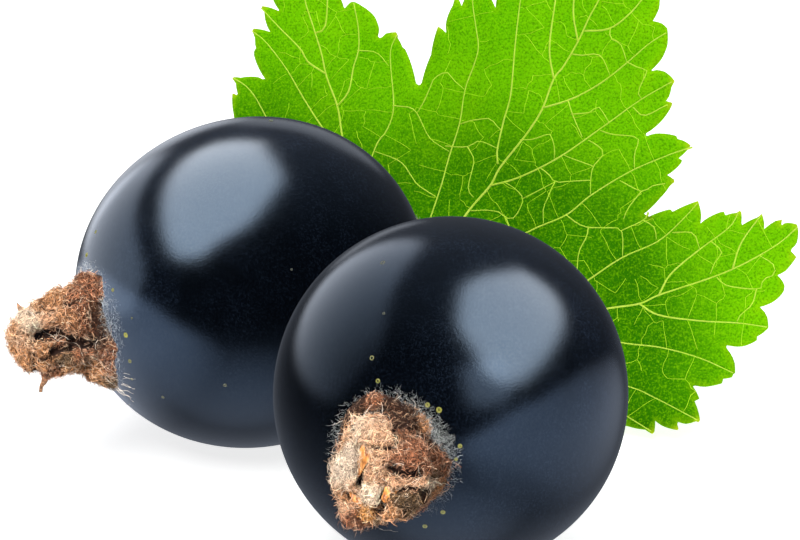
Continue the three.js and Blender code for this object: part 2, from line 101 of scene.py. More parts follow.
# Veins in the blade's plane, from their root outwards, in three orders of thickness.
MAIN_VEINS = [np.reshape(path, (-1, 2)) for path in (
    [0, -0.2, 1.4, 3, 2.45, 5.65, 3.25, 7, 3.5, 7.75, 4.25, 9.05, 4.6, 9.75, 4.9, 10.6, 5.1, 11.95,
     5.35, 12.4, 5.8, 13.65, 6.1, 14.75, 6.4, 15.55, 6.75, 16.9, 7.2, 19.9],
    [0, -0.1, 3.7, 0.7, 7, 1.75, 9.45, 2.55, 10.8, 2.95, 11.55, 3.45, 13.3, 4.4, 14.4, 5.05, 15.45, 5.8,
     16.3, 6.55, 16.8, 7.2],
    [0, 0, -2, 3.9, -3, 6.35, -3.8, 8.3, -4.3, 9.45, -5.1, 10.65, -5.6, 11.7, -6.3, 12.95, -6.8, 13.85,
     -7.25, 15.15, -7.42, 15.8],
)]
SIDE_VEINS = [np.reshape(path, (-1, 2)) for path in (
    [0.3, 0.6, 0.55, 1.6, 0.9, 5.3, 1.05, 6.75, 1.15, 8.05, 1.35, 9.45, 1.35, 10.9, 1.55, 11.95, 1.6, 12.75,
     1.3, 13.6, 0.85, 14.8, 0.8, 15.7],
    [3.4, 7.95, 3.25, 8.55, 3.3, 9.8, 3.4, 10.95, 3.2, 12.9, 3, 14.85, 2.8, 17.2],
    [5.1, 11.9, 4.65, 13.2, 4.5, 15.3, 4.3, 18.5],
    [4.9, 10.6, 6, 11.15, 7.1, 12, 8.15, 13.1, 8.9, 13.95, 9.6, 14.55],
    [6, 14.15, 7.05, 14.4, 7.85, 15.15, 8.55, 16.2, 9.35, 16.7],
    [3.25, 7, 4.3, 7.4, 5.4, 8.05, 6.4, 8.85, 7.8, 10.3, 9, 11.5, 10.3, 12.5],
    [1.7, 3.6, 3.05, 3.9, 4.25, 4.5, 5.7, 5.45, 6.95, 6.2, 7.85, 7.2, 9.3, 8.5, 10.7, 9.4, 11.65, 9.9],
    [5.8, 13.65, 5.35, 15, 5.3, 16.7, 5.3, 19.3], [7, 17.9, 7.7, 18, 8.6, 18.4],
    [11.55, 3.45, 11.85, 4.45, 12.8, 5.65, 13.9, 6.8, 14.15, 7.45],
    [6.2, 1.5, 7.25, 2.65, 8.45, 3.7, 9.65, 4.8, 11, 5.75, 11.9, 6.95, 12.3, 7.6],
    [10.8, 2.95, 11.75, 2.6, 13.45, 2.65, 15.05, 2.85, 16.25, 2.9],
    [5.6, 1.35, 7.5, 1.4, 10.35, 1.2, 12.1, 1.25, 13.8, 1.1, 15.25, 0.75],
    [1.2, 0.1, 3.85, -0.1, 7.85, -0.25, 11.1, -0.6, 12.35, -0.9, 14.25, -1.5],
    [14.4, 5.05, 14.55, 6.2, 15.15, 7.45], [4.6, -0.15, 7.05, -0.55, 9.95, -1.35, 12.45, -2.3],
    [-4.3, 9.45, -3.95, 10.15, -4, 11.25, -3.95, 12.05, -4.2, 13.05, -4.6, 14],
    [-2.6, 5.4, -3.4, 7.15, -5, 8.65, -6, 9.65, -7.05, 10.8, -8.2, 11.8, -8.95, 12.2],
    [-3, 2.9, -5.25, 5.65, -7.65, 8.7, -8.6, 9.7, -9.45, 10.1],
    [-5.2, 10.8, -6.1, 11.2, -6.55, 11.7, -7.7, 12.5, -8.75, 13.25],
    [-6, 12.5, -5.65, 12.85, -5.9, 14.45, -6.25, 15.25],
    [-1.5, 3, -2.35, 4.9, -2.15, 7.8, -1.8, 8.7, -1.75, 9.8, -2.45, 12, -2.35, 12.9],
    [-0.4, 0.2, -3.4, 1.9, -5.25, 3.45, -7.85, 6.25, -9.1, 6.9], [-1.6, 0.9, -4.6, 1.95, -6.9, 3.15],
)]
LINK_VEINS = [np.reshape(path, (-1, 2)) for path in (
    [-1.8, 9.8, -1.4, 9.8, -1, 9.8, -0.6, 9.6, 0.1, 8.7, 0.6, 8.4, 1.1, 8.2],
    [-0.6, 9.6, -0.4, 10.1, -0.2, 10.9, -0.1, 11.2, 0.4, 11.5, 0.8, 11.2, 1.3, 10.9],
    [-4, 12, -3.1, 12, -2.4, 11.5], [5.6, 13.1, 6.1, 13.1, 6.9, 13.2, 7.5, 12.4],
    [7.1, 14.4, 7.2, 14, 7.7, 13.8, 8.1, 13.1], [8.1, 13.1, 8.7, 12.9, 9.1, 12.8, 8.9, 11.9, 9.1, 11.6],
    [8.8, 11.2, 9.4, 10.9, 10.3, 11.5], [5.9, 11.1, 6.2, 10.6, 6.9, 9.6],
    [6.2, 10.5, 7, 10.7, 7.3, 11, 7.9, 10.4], [7.6, 10, 8.2, 9.9, 9.3, 9.9, 9.3, 9.2, 9.4, 8.6],
    [7.2, 9.5, 7.7, 9.3, 8, 9, 7.7, 8.4, 7.7, 7.8, 7.8, 7.2],
    [5.4, 8, 5.8, 7.8, 6.2, 7.5, 6.8, 7.6, 7.7, 7.8], [6.2, 7.5, 6.1, 7.2, 6, 6.7, 5.9, 6.3, 6, 5.7],
    [8.9, 8, 9.9, 7.7, 10.3, 8, 10.8, 8.2], [9.9, 7.7, 9.5, 6.9, 9.4, 6.4],
    [13.8, 4.6, 14.1, 4.4, 14.5, 4.3, 15.7, 4.4, 15.8, 4.8, 16.2, 5.1, 16.1, 5.5, 15.4, 5.8],
    [15.6, 4.4, 15.5, 3.7, 15.1, 3.2, 15, 2.9], [13.2, 6.1, 13.8, 5.7, 13.6, 5.2, 13.5, 4.7],
    [11.5, 6.2, 12.4, 6.3, 12.8, 5.7], [9.4, 5.9, 10.2, 6.5, 10.3, 6.9], [10.2, 6.5, 10.7, 6.3, 10.9, 5.8],
    [6.9, 6.2, 7.5, 5.9, 8, 5.8, 8.7, 5.9, 9.4, 5.9, 9.65, 4.8],
    [8, 5.8, 8, 5.4, 7.8, 4.8, 7.8, 4.3, 7.9, 3.3],
    [2.6, 5.8, 3.2, 5.9, 3.9, 5.9, 4.3, 5.7, 4.6, 5.7, 4.8, 6, 4.9, 6.6, 4.4, 7, 3.9, 7.2],
    [4.9, 6.6, 5.5, 7, 6.2, 7.5], [4.3, 5.7, 4.6, 5.2, 4.7, 4.8],
    [4.2, 9.1, 4.8, 9.2, 5.2, 9.4, 5.5, 9.5, 5.8, 9, 5.9, 8.5], [0.9, 8.4, 1.9, 8.5, 2.4, 8.8, 3.3, 8.6],
    [1.9, 8.5, 2.3, 8, 2.3, 7.4, 2.3, 6.7, 2.6, 6.4],
    [0.9, 6.2, 0.4, 6.4, 0, 6.6, -0.4, 7, -0.7, 7.3, -1.1, 7.5, -2.1, 7.7],
    [7.7, 8.4, 7.2, 8.5, 6.7, 8.6, 6.3, 8.7], [1.35, 9.4, 1.8, 9.6, 2.2, 9.7, 2.7, 9.8, 3.1, 9.5, 3.3, 9.4],
)]

# ---- framing: a long lens above the table ----

CAMERA_PLACE = np.array([-2.036, -276.290, 123.899])
CAMERA_TILT = math.radians(68)
LENS = 337.5
SENSOR = 36
PICTURE = (800, 540)
CAMERA_RIGHT = np.array([1.0, 0, 0])
CAMERA_UP = np.array([0, math.cos(CAMERA_TILT), math.sin(CAMERA_TILT)])
CAMERA_VIEW = np.array([0, math.sin(CAMERA_TILT), -math.cos(CAMERA_TILT)])


# ---- points and faces ----

def unit(vectors):
    """Vectors of length 1."""
    vectors = np.asarray(vectors, float)
    return vectors / np.linalg.norm(vectors, axis=-1, keepdims=True)


def apart(points, place):
    """Distance of each point from a place."""
    return np.linalg.norm(points - place, axis=1)


def circle(sides):
    """Angles evenly spaced round a whole turn."""
    return np.linspace(0, TURN, sides, endpoint=False)


def spokes(angles, side, other):
    """Directions at angles that turn from side towards other."""
    return np.cos(angles)[:, None] * side + np.sin(angles)[:, None] * other


def ease(value, low, high):
    """0 below low, 1 above high, and smooth between them."""
    share = np.clip((np.asarray(value, float) - low) / (high - low), 0, 1)
    return share * share * (3 - 2 * share)


def grain(points, size, shift=0.0):
    """Smooth noise from -1 to 1 at each point; size is its scale in millimetres."""
    return np.array([noise.noise(Vector(p)) for p in np.asarray(points, float) / size + shift])


def grains(points, size, *shifts):
    """Three noises as a vector at each point."""
    return np.stack([grain(points, size, shift) for shift in shifts], axis=1)


def billow(points, size, shift=0.0):
    """Puffy noise, 0 in its sharp creases and near 1 on its crests."""
    return np.minimum(1, 2.2 * np.abs(grain(points, size, shift)))


def running(path):
    """How far along a path each of its points is."""
    return np.concatenate([[0], np.cumsum(np.linalg.norm(np.diff(path, axis=0), axis=1))])


def smooth_path(points, steps):
    """Points evenly spaced along a Catmull-Rom curve through the given ones."""
    points = np.asarray(points, float)
    ends = np.vstack([2 * points[0] - points[1], points, 2 * points[-1] - points[-2]])
    dense = []
    for a, b, c, d in zip(ends, ends[1:], ends[2:], ends[3:]):
        for t in np.linspace(0, 1, 12, endpoint=False):
            dense.append(0.5 * (2 * b + (c - a) * t + (2 * a - 5 * b + 4 * c - d) * t**2
                                + (3 * b - a - 3 * c + d) * t**3))
    dense = np.array(dense + [points[-1]])
    along = running(dense)
    wanted = np.linspace(0, along[-1], steps + 1)
    return np.stack([np.interp(wanted, along, column) for column in dense.T], axis=1)


def from_path(points, path):
    """Distance of each point from a path."""
    path = np.asarray(path, float)
    best = np.full(len(points), np.inf)
    for a, b in zip(path, path[1:]):
        leg = b - a
        share = np.clip((points - a) @ leg / (leg @ leg), 0, 1)
        best = np.minimum(best, np.linalg.norm(points - a - share[:, None] * leg, axis=1))
    return best


def from_paths(points, paths):
    """Distance of each point from the nearest path."""
    return np.min([from_path(points, path) for path in paths], axis=0)


def pairs_round(loop):
    """Each item of a loop with the one after it."""
    loop = list(loop)
    return list(zip(loop, loop[1:] + loop[:1]))


def ring_faces(rings, sides):
    """Quads between neighbouring closed rings of points."""
    return [(row + side, row + beside, row + sides + beside, row + sides + side)
            for row in range(0, (rings - 1) * sides, sides) for side, beside in pairs_round(range(sides))]


def closed_rings(rows, start=None, end=None):
    """Points and faces of a skin over closed rings, capped by a point at each end."""
    rows = np.asarray(rows, float)
    rings, sides = rows.shape[:2]
    start = rows[0].mean(0) if start is None else start
    end = rows[-1].mean(0) if end is None else end
    points = np.vstack([rows.reshape(-1, 3), [start, end]])
    faces = ring_faces(rings, sides)
    last = (rings - 1) * sides
    for side, beside in pairs_round(range(sides)):
        faces.append((rings * sides, beside, side))
        faces.append((rings * sides + 1, last + side, last + beside))
    return points, faces


def merge(parts, marks=()):
    """Joins (points, faces) pairs; marks are numbers, for each whole part or for each of its points."""
    faces, first = [], 0
    for points, their_faces in parts:
        faces.extend(tuple(first + corner for corner in face) for face in their_faces)
        first += len(points)
    joined = np.vstack([points for points, _ in parts])
    if not marks:
        return joined, faces
    spread = [np.broadcast_to(mark, len(points)) for mark, (points, _) in zip(marks, parts)]
    return joined, faces, np.concatenate(spread)


def tube_rows(path, radii, sides, flat=1.0, wide=(0, 0, 1)):
    """Rings of a tapered tube; flat squeezes it across the direction that wide points along."""
    path = np.asarray(path, float)
    along = unit(np.gradient(path, axis=0))
    across = np.broadcast_to(np.asarray(wide, float), path.shape)
    across = unit(across - (across * along).sum(1, keepdims=True) * along)
    third = np.cross(along, across)
    sizes = np.interp(np.linspace(0, 1, len(path)), np.linspace(0, 1, len(radii)), radii)
    turn = circle(sides)
    ring = np.cos(turn)[None, :, None] * across[:, None] + np.sin(turn)[None, :, None] * flat * third[:, None]
    return path[:, None] + ring * sizes[:, None, None]


def normals_of(points, faces):
    """Smooth normals at a mesh's points."""
    quads = np.array([face if len(face) == 4 else (*face, face[0]) for face in faces])
    a, b, c, d = points[quads].transpose(1, 0, 2)
    facing = np.cross(c - a, d - b)
    normals = np.zeros_like(points)
    for corner in quads.T:
        np.add.at(normals, corner, facing)
    return unit(normals + TINY)


def add_object(name, data):
    made = bpy.data.objects.new(name, data)
    bpy.context.scene.collection.objects.link(made)
    return made


def piece(name, points, faces, finish, marks=None, replaces=()):
    """A mesh that rides on the part. points are in millimetres, marks are numbers or colours kept at each."""
    mesh = bpy.data.meshes.new(name)
    mesh.from_pydata((np.asarray(points, float) * MM).tolist(), [], faces)
    mesh.validate()
    for key, values in (marks or {}).items():
        values = np.asarray(values, np.float32)
        if values.ndim == 1:
            mesh.attributes.new(key, "FLOAT", "POINT").data.foreach_set("value", values)
        else:
            opaque = np.hstack([values, np.ones((len(values), 1), np.float32)])
            mesh.attributes.new(key, "FLOAT_COLOR", "POINT").data.foreach_set("color", opaque.ravel())
    mesh.polygons.foreach_set("use_smooth", [True] * len(mesh.polygons))
    mesh.materials.append(finish)
    made = add_object(name, mesh)
    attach(made, "root")
    if replaces:
        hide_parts(*replaces)
    return made


# ---- hairs ----

# how far along a hair each ring of points is, and its thickness there as a share
FELT_STATIONS = ((0, 1), (0.3, 1), (0.6, 0.85), (0.85, 0.6))
SHORT_STATIONS = ((0, 1), (0.4, 0.9), (0.75, 0.65))
WISP_STATIONS = ((0, 1), (0.15, 1), (0.3, 1), (0.45, 0.95), (0.6, 0.85), (0.75, 0.7), (0.9, 0.5))
LEAST_BEND = 0.05
SWAY = 0.12


def hairs(roots, ways, lengths, thick, curl, rng, stations=FELT_STATIONS, under=None):
    """Tapered three-sided hairs that leave their roots along ways and bend in arcs.

    curl is how far they usually turn, and they turn within the surface whose normals are given as under.
    """
    count = len(roots)
    side = unit(np.cross(ways, rng.normal(size=(count, 3)) if under is None else under))
    other = np.cross(ways, side)
    bends = rng.normal(0, curl, (count, 1))
    bends = np.where(np.abs(bends) < LEAST_BEND, LEAST_BEND, bends)
    sway = rng.normal(0, SWAY, (count, 1))
    lengths = lengths[:, None]

    def spine(share):
        arc = ways * np.sin(bends * share) + side * (1 - np.cos(bends * share))
        return roots + lengths * (arc / bends + other * sway * math.sin(math.pi * share))

    rows = [spine(share) + thick * width * (side * math.cos(angle) + other * math.sin(angle))
            for share, width in stations for angle in (0, TURN / 3, 2 * TURN / 3)]
    points = np.stack(rows + [spine(1)], axis=1).reshape(-1, 3)
    tip = 3 * len(stations)
    one = ring_faces(len(stations), 3) + [(tip - 3 + k, tip - 3 + (k + 1) % 3, tip) for k in range(3)]
    firsts = range(0, len(points), tip + 1)
    return points, [tuple(first + corner for corner in face) for first in firsts for face in one]


def per_hair(values, stations=FELT_STATIONS):
    """Repeats one value for each of a hair's points."""
    return np.repeat(values, 3 * len(stations) + 1, axis=0)


def seeds_on(points, faces, count, weights, rng):
    """Random places on a mesh: their positions, normals and corner numbers; weights favour some faces."""
    corners = np.array([face[:3] for face in faces] + [(f[0], f[2], f[3]) for f in faces if len(f) == 4])
    a, b, c = points[corners].transpose(1, 0, 2)
    cross = np.cross(b - a, c - a)
    share = np.linalg.norm(cross, axis=1) * weights[corners].mean(1)
    chosen = rng.choice(len(corners), count, p=share / share.sum())
    u, v = rng.random((2, count, 1))
    flip = u + v > 1
    u, v = np.where(flip, 1 - u, u), np.where(flip, 1 - v, v)
    places = a[chosen] + u * (b - a)[chosen] + v * (c - a)[chosen]
    return places, unit(cross[chosen] + TINY), corners[chosen]


# ---- finishes ----

def add_node(tree, kind, inputs=(), **settings):
    """Adds a shader node. Its inputs, by name or number, are values or other nodes' outputs."""
    node = tree.nodes.new("ShaderNode" + kind)
    for key, value in settings.items():
        setattr(node, key, value)
    for key, value in dict(inputs).items():
        if isinstance(value, bpy.types.NodeSocket):
            tree.links.new(value, node.inputs[key])
        else:
            node.inputs[key].default_value = value
    return node


class Finish:
    """A procedural material built around one Principled shader; coordinates are in millimetres."""

    def __init__(self, name, **sockets):
        self.material = bpy.data.materials.new(name)
        self.material.use_nodes = True
        self.shader = self.material.node_tree.nodes["Principled BSDF"]
        for key, value in sockets.items():
            self.shader.inputs[key.replace("_", " ")].default_value = value
        self.place = self.node("TexCoord").outputs["Object"]
        self.place = self.stretched(1 / MM, 1 / MM, 1 / MM)

    def node(self, kind, inputs=(), **settings):
        return add_node(self.material.node_tree, kind, inputs, **settings)

    def stretched(self, *scales):
        return self.node("Mapping", {"Vector": self.place, "Scale": scales}).outputs["Vector"]

    def noise(self, size, detail=3.0, rough=0.55, warp=0.0, place=None):
        return self.node("TexNoise", {"Vector": place or self.place, "Scale": 1 / size, "Detail": detail,
                                      "Roughness": rough, "Distortion": warp}).outputs["Fac"]

    def mark(self, key, output="Fac"):
        return self.node("Attribute", attribute_name=key).outputs[output]

    def ramp(self, value, *stops):
        """Colours or greys along a value; each stop is (place, colour)."""
        node = self.node("ValToRGB", {"Fac": value})
        while len(node.color_ramp.elements) < len(stops):
            node.color_ramp.elements.new(0.5)
        for element, (at, colour) in zip(node.color_ramp.elements, stops):
            element.position = at
            element.color = (*colour, 1) if isinstance(colour, tuple) else (colour,) * 3 + (1,)
        return node.outputs["Color"]

    def mix(self, factor, first, second, how="MIX"):
        """Blends two colours, each an output or an (r, g, b), by a factor."""
        values = [(*value, 1) if isinstance(value, tuple) else value for value in (factor, first, second)]
        return self.node("Mix", dict(zip((0, 6, 7), values)), data_type="RGBA", blend_type=how).outputs[2]

    def times(self, first, second):
        return self.node("Math", {0: first, 1: second}, operation="MULTIPLY").outputs[0]

    def wear(self, colour, relief, height):
        """Puts a colour on the shader, and a relief whose full height is in millimetres."""
        self.link(colour, "Base Color")
        self.link(self.node("Bump", {"Height": relief, "Distance": height * MM}).outputs["Normal"], "Normal")
        return self.material

    def link(self, value, socket):
        self.material.node_tree.links.new(value, self.shader.inputs[socket])


def berry_finish():
    """Blue-black skin: smooth and glossy under a thin uneven film of bloom, which grains its reflections."""
    skin = Finish("currant_skin", IOR=1.58)
    bloom = skin.noise(2.6, 5, 0.6, 0.4)
    film = skin.ramp(bloom, (0.35, (0.0002, 0.0004, 0.0008)), (0.72, (0.0007, 0.0012, 0.0026)))
    dust = skin.noise(0.085, rough=0.7)
    specks = skin.times(skin.ramp(dust, (0.5, 0), (0.64, 1)), skin.ramp(bloom, (0.38, 0.1), (0.68, 1)))
    skin.link(skin.ramp(dust, (0.35, (0.46, 0.64, 0.89)), (0.65, (0.58, 0.76, 0.97))), "Specular Tint")
    smear = {"Value": skin.noise(0.9, 6, 0.65), "To Min": 0.12, "To Max": 0.22}
    skin.link(skin.node("MapRange", smear).outputs["Result"], "Roughness")
    return skin.wear(skin.mix(specks, film, (0.0065, 0.0105, 0.018)), dust, 0.004)


def gland_finish():
    """Resin glands, from dried grey to fresh yellow."""
    resin = Finish("resin_gland", Roughness=0.35, Subsurface_Weight=0.2)
    fresh = resin.ramp(resin.noise(0.1), (0.3, (0.42, 0.4, 0.03)), (0.7, (0.85, 0.8, 0.18)))
    return resin.wear(resin.mix(resin.mark("tone"), (0.14, 0.15, 0.14), fresh), resin.noise(0.05), 0.005)


def dried_finish():
    """Withered felt: its tint is marked on the mesh, and painted shade darkens its hollows, creases and
    folds.
    """
    felt = Finish("dried_calyx", Roughness=0.95, Specular_IOR_Level=0.15)
    fibre = felt.noise(0.09, 5, 0.7, 1.2)
    # painted shade between the fibres: dark gaps in the felt, softened where the tint is pale
    shaded_gaps = felt.ramp(fibre, (0.4, 0.03), (0.52, 0.25), (0.66, 1))
    uneven = felt.mix(felt.mark("pale"), shaded_gaps, felt.ramp(fibre, (0.4, 0.09), (0.64, 1)))
    body = felt.mix(1.0, felt.mark("tint", "Color"), uneven, "MULTIPLY")
    # painted shade: the hollows, creases and folds go nearly black
    body = felt.mix(felt.mark("fold_shade"), body, (0.014, 0.005, 0.0025))
    return felt.wear(body, felt.noise(0.1, 4, 0.75, 1), 0.08)


def felt_hair_finish():
    """Felt hairs, which take their tint from the place they grow on."""
    hair = Finish("felt_hair", Roughness=0.6, Specular_IOR_Level=0.2)
    uneven = hair.ramp(hair.noise(0.15), (0.3, 0.75), (0.7, 1))
    return hair.wear(hair.mix(1.0, hair.mark("tint", "Color"), uneven, "MULTIPLY"), hair.noise(0.03), 0.003)


def hair_finish(name, dark, light):
    """Hairs whose colour changes from one to the next."""
    hair = Finish(name, Roughness=0.55)
    return hair.wear(hair.ramp(hair.mark("tone"), (0, dark), (1, light)), hair.noise(0.03), 0.003)


def leaf_finish():
    """Bright green lamina with a fine net of veinlets, yellower at its tips and painted darker where the
    fruit shades it.
    """
    leaf = Finish("leaf_lamina", Roughness=0.6, IOR=1.3, Specular_IOR_Level=0.02)
    mottle = leaf.noise(3.2, 4)
    fresh = leaf.ramp(mottle, (0.3, (0.14, 0.57, 0.0006)), (0.55, (0.19, 0.66, 0.001)),
                      (0.75, (0.28, 0.77, 0.0015)))
    # inner is the blade's colour in the fruit's painted shadow, blended in by the shade mark
    inner = leaf.ramp(mottle, (0.3, (0.026, 0.19, 0.0004)), (0.7, (0.047, 0.28, 0.0005)))
    blade = leaf.mix(leaf.mark("shade"), fresh, inner)
    push = leaf.node("TexNoise", {"Vector": leaf.place, "Scale": 1 / 0.3}).outputs["Color"]
    pushed = {0: push, 1: (0.2, 0.2, 0.2), 2: leaf.place}
    pushed = leaf.node("VectorMath", pushed, operation="MULTIPLY_ADD").outputs["Vector"]
    cells = leaf.node("TexVoronoi", {"Vector": pushed, "Scale": 1 / 0.42}, feature="DISTANCE_TO_EDGE")
    stipple = leaf.noise(0.085, 2)
    # where each tint lies, how much of it, and the tint
    for where, amount, colour in (
        (leaf.ramp(cells.outputs["Distance"], (0, 1), (0.1, 0)), 0.14, (0.4, 0.85, 0.003)),
        (leaf.ramp(stipple, (0.52, 0), (0.66, 1)), 0.34, (0.36, 0.84, 0.003)),
        (leaf.ramp(stipple, (0.34, 1), (0.48, 0)), 0.55, (0.035, 0.2, 0.001)),
        (leaf.mark("rim"), 0.35, (0.42, 0.82, 0.003)),
    ):
        blade = leaf.mix(leaf.times(where, amount), blade, colour)
    blade = leaf.mix(leaf.mark("tip"), blade, (0.7, 0.85, 0.02))
    return leaf.wear(leaf.mix(leaf.mark("spot"), blade, (0.12, 0.06, 0.01)), stipple, 0.015)


def vein_finish():
    """Pale veins, straw-coloured where they are thick and greener where they are thin."""
    vein = Finish("leaf_vein", Roughness=0.55, Specular_IOR_Level=0.03)
    tone = vein.noise(0.5)
    thin = vein.ramp(tone, (0.3, (0.52, 0.97, 0.02)), (0.7, (0.68, 1.0, 0.045)))
    straw = vein.ramp(tone, (0.3, (0.62, 0.93, 0.06)), (0.7, (0.77, 1.0, 0.12)))
    stout = vein.ramp(vein.mark("stout"), (0, 0), (0.4, 1))
    return vein.wear(vein.mix(stout, thin, straw), vein.noise(0.06), 0.01)


def stalk_finish():
    """Green stalk, flushed red-brown in patches."""
    stalk = Finish("green_stalk")
    streak = stalk.noise(0.35, 4, place=stalk.stretched(1, 0.25, 1))
    green = stalk.ramp(streak, (0.3, (0.12, 0.2, 0.02)), (0.7, (0.3, 0.42, 0.06)))
    flush = stalk.ramp(streak, (0.3, (0.16, 0.06, 0.02)), (0.7, (0.32, 0.17, 0.05)))
    flushed = stalk.ramp(stalk.noise(2.2), (0.42, 0), (0.62, 1))
    return stalk.wear(stalk.mix(flushed, green, flush), streak, 0.05)


def streaked_finish(name, streaks, relief, colours, over=None, **sockets):
    """Colours that run in streaks, with another colour over them where a mark says so.

    streaks are their size, how each axis is scaled, and their noise's detail and roughness.
    """
    look = Finish(name, **sockets)
    size, squeeze, detail, rough = streaks
    streak = look.noise(size, detail, rough, place=look.stretched(*squeeze))
    colour = look.ramp(streak, *colours)
    if over:
        colour = look.mix(look.mark(over[0]), colour, over[1])
    return look.wear(colour, streak, relief)


def petal_finish():
    """Papery petals, orange against the light."""
    orange = (0.34, (0.16, 0.035, 0.006)), (0.48, (0.5, 0.18, 0.03)), (0.66, (0.75, 0.38, 0.13))
    return streaked_finish("dried_petal", (0.3, (3, 3, 0.8), 4, 0.55), 0.05, orange, Subsurface_Weight=0.15)


def bark_finish():
    """Grey-brown young bark that flakes along the twig, with pale breathing pores."""
    brown = (0.28, (0.06, 0.035, 0.02)), (0.5, (0.2, 0.13, 0.08)), (0.72, (0.42, 0.34, 0.25))
    flakes = (0.5, (0.3, 1, 1), 6, 0.7)
    return streaked_finish("twig_bark", flakes, 0.09, brown, ("pore", (0.5, 0.4, 0.27)), Roughness=0.85)


def bud_finish():
    """Dry bud scales, pale at their edges."""
    brown = (0.3, (0.17, 0.07, 0.035)), (0.7, (0.4, 0.22, 0.11))
    streaks = (0.25, (0.4, 1, 1), 4, 0.55)
    return streaked_finish("bud_scale", streaks, 0.03, brown, ("edge", (0.56, 0.42, 0.24)), Roughness=0.6)


def pith_finish():
    """The cut end: pale wood round a small pith."""
    wood = Finish("cut_wood", Roughness=0.8)
    rings = wood.ramp(wood.mark("ring"), (0, (0.5, 0.4, 0.24)), (0.24, (0.55, 0.45, 0.28)),
                      (0.3, (0.72, 0.62, 0.42)), (0.8, (0.6, 0.52, 0.3)), (0.92, (0.2, 0.22, 0.06)))
    dusty = wood.times(wood.noise(0.12, 4), 0.5)
    return wood.wear(wood.mix(dusty, rings, (0.3, 0.22, 0.12)), wood.noise(0.1), 0.03)


# ---- berries ----

def line_of_sight(pixel):
    """The direction from the camera through a pixel of the picture."""
    reach = LENS / SENSOR * PICTURE[0]
    across = CAMERA_RIGHT * (pixel[0] - PICTURE[0] / 2) / reach
    return unit(CAMERA_VIEW + across + CAMERA_UP * (PICTURE[1] / 2 - pixel[1]) / reach)


class Berry:
    """A flattened ball. turn's rows are directions: to the picture's right, up, and out along its axis."""

    def __init__(self, name, centre, axis, equator, half, girth):
        self.name, self.equator, self.half, self.girth = name, equator, half, girth
        self.centre, self.out = np.array(centre, float), unit(axis)
        right = unit(CAMERA_RIGHT - self.out[0] * self.out)
        self.turn = np.array([right, np.cross(self.out, right), self.out])
        self.pole = self.centre + self.out * half

    def squeezed(self, vector, power=1):
        """A vector in a measure in which the berry is a ball of radius 1."""
        along = vector @ self.out
        return (vector - along * self.out) / self.equator**power + self.out * along / self.half**power

    def seen(self, pixel):
        """Where the line of sight through a pixel meets the skin, with the normal there, if it does."""
        sight = line_of_sight(pixel)
        start, step = self.squeezed(CAMERA_PLACE - self.centre), self.squeezed(sight)
        half_b, a, c = start @ step, step @ step, start @ start - 1
        reach = half_b**2 - a * c
        if reach < 0:
            return None
        place = CAMERA_PLACE + (-half_b - math.sqrt(reach)) / a * sight
        return place, unit(self.squeezed(place - self.centre, 2))

    def to_part(self, places):
        """From its calyx's frame, which starts at the skin's pole, to the part's."""
        return self.pole + np.asarray(places, float) @ self.turn

    def stalk_end(self, beyond):
        """A place on the axis, at some distance beyond the bottom of the dimple."""
        return self.centre - self.out * (self.half - DIMPLE_DEPTH + beyond)


FRONT_BERRY = Berry("front", (0, 0, 6.9), (-0.28, -0.959, 0.042), equator=7.1, half=7.25, girth=1.0)
BACK_BERRY = Berry("back", (-8.2, 12.45, 6.7), (-0.877, -0.471, -0.098), equator=6.85, half=7.45, girth=0.95)
SKIN_SIDES, SKIN_RINGS = 180, 110
SKIN_SWELL = 0.03


def berry_skin(berry, finish):
    latitude = np.linspace(-math.pi / 2, math.pi / 2, SKIN_RINGS + 1)[1:-1]
    radius = berry.equator * np.cos(latitude)
    hollow = np.where(latitude < 0, DIMPLE_DEPTH * np.exp(-((radius / DIMPLE_RADIUS) ** 2)), 0)
    height = berry.half * np.sin(latitude) + hollow
    right, up, out = berry.turn
    rows = berry.centre + radius[:, None, None] * spokes(circle(SKIN_SIDES), right, up)
    rows = rows + height[:, None, None] * out
    points, faces = closed_rings(rows, berry.stalk_end(0), berry.pole)
    points += unit(points - berry.centre) * (SKIN_SWELL * grain(points, 5.5, 3.1))[:, None]
    points[:, 2] = np.maximum(points[:, 2], 0)
    name = berry.name
    return piece(f"berry_skin_{name}", points, faces, finish, replaces=[f"berry_{name}"])


# a pixel's x and y, size, and how yellow rather than grey
FRONT_GLANDS = [
    (383, 263, 1.1, 0.1), (384, 313.5, 0.6, 0.15), (372, 358, 1.0, 0.45), (378, 381, 0.9, 0.8),
    (427.5, 405, 1.0, 0.85), (439, 410, 1.15, 1.0), (460, 446, 0.9, 0.8), (456, 459, 0.7, 0.8),
    (443, 512, 1.0, 0.6), (425, 526, 1.0, 0.5),
]
BACK_GLANDS = [
    (271, 121, 1.0, 0.15), (96, 232, 0.8, 0.6), (87, 255, 1.0, 0.9), (113, 290, 0.8, 0.7),
    (132, 318, 0.5, 0.2), (126, 335, 1.1, 1.0), (130, 361, 0.9, 0.4), (291.5, 269.5, 0.45, 0.1),
    (225, 385, 0.8, 0.15), (163, 397, 0.7, 0.2), (132, 379, 0.6, 0.3),
]
HIDDEN_GLANDS, HIDDEN_SIZES = 26, (0.6, 1.1)
GLAND_RADIUS = 0.072
GLAND_THICK = 0.03
GLAND_LIFT = 0.012
GLAND_SIDES = 14
FAR_SIDE, UNDERSIDE = 0.1, -0.8


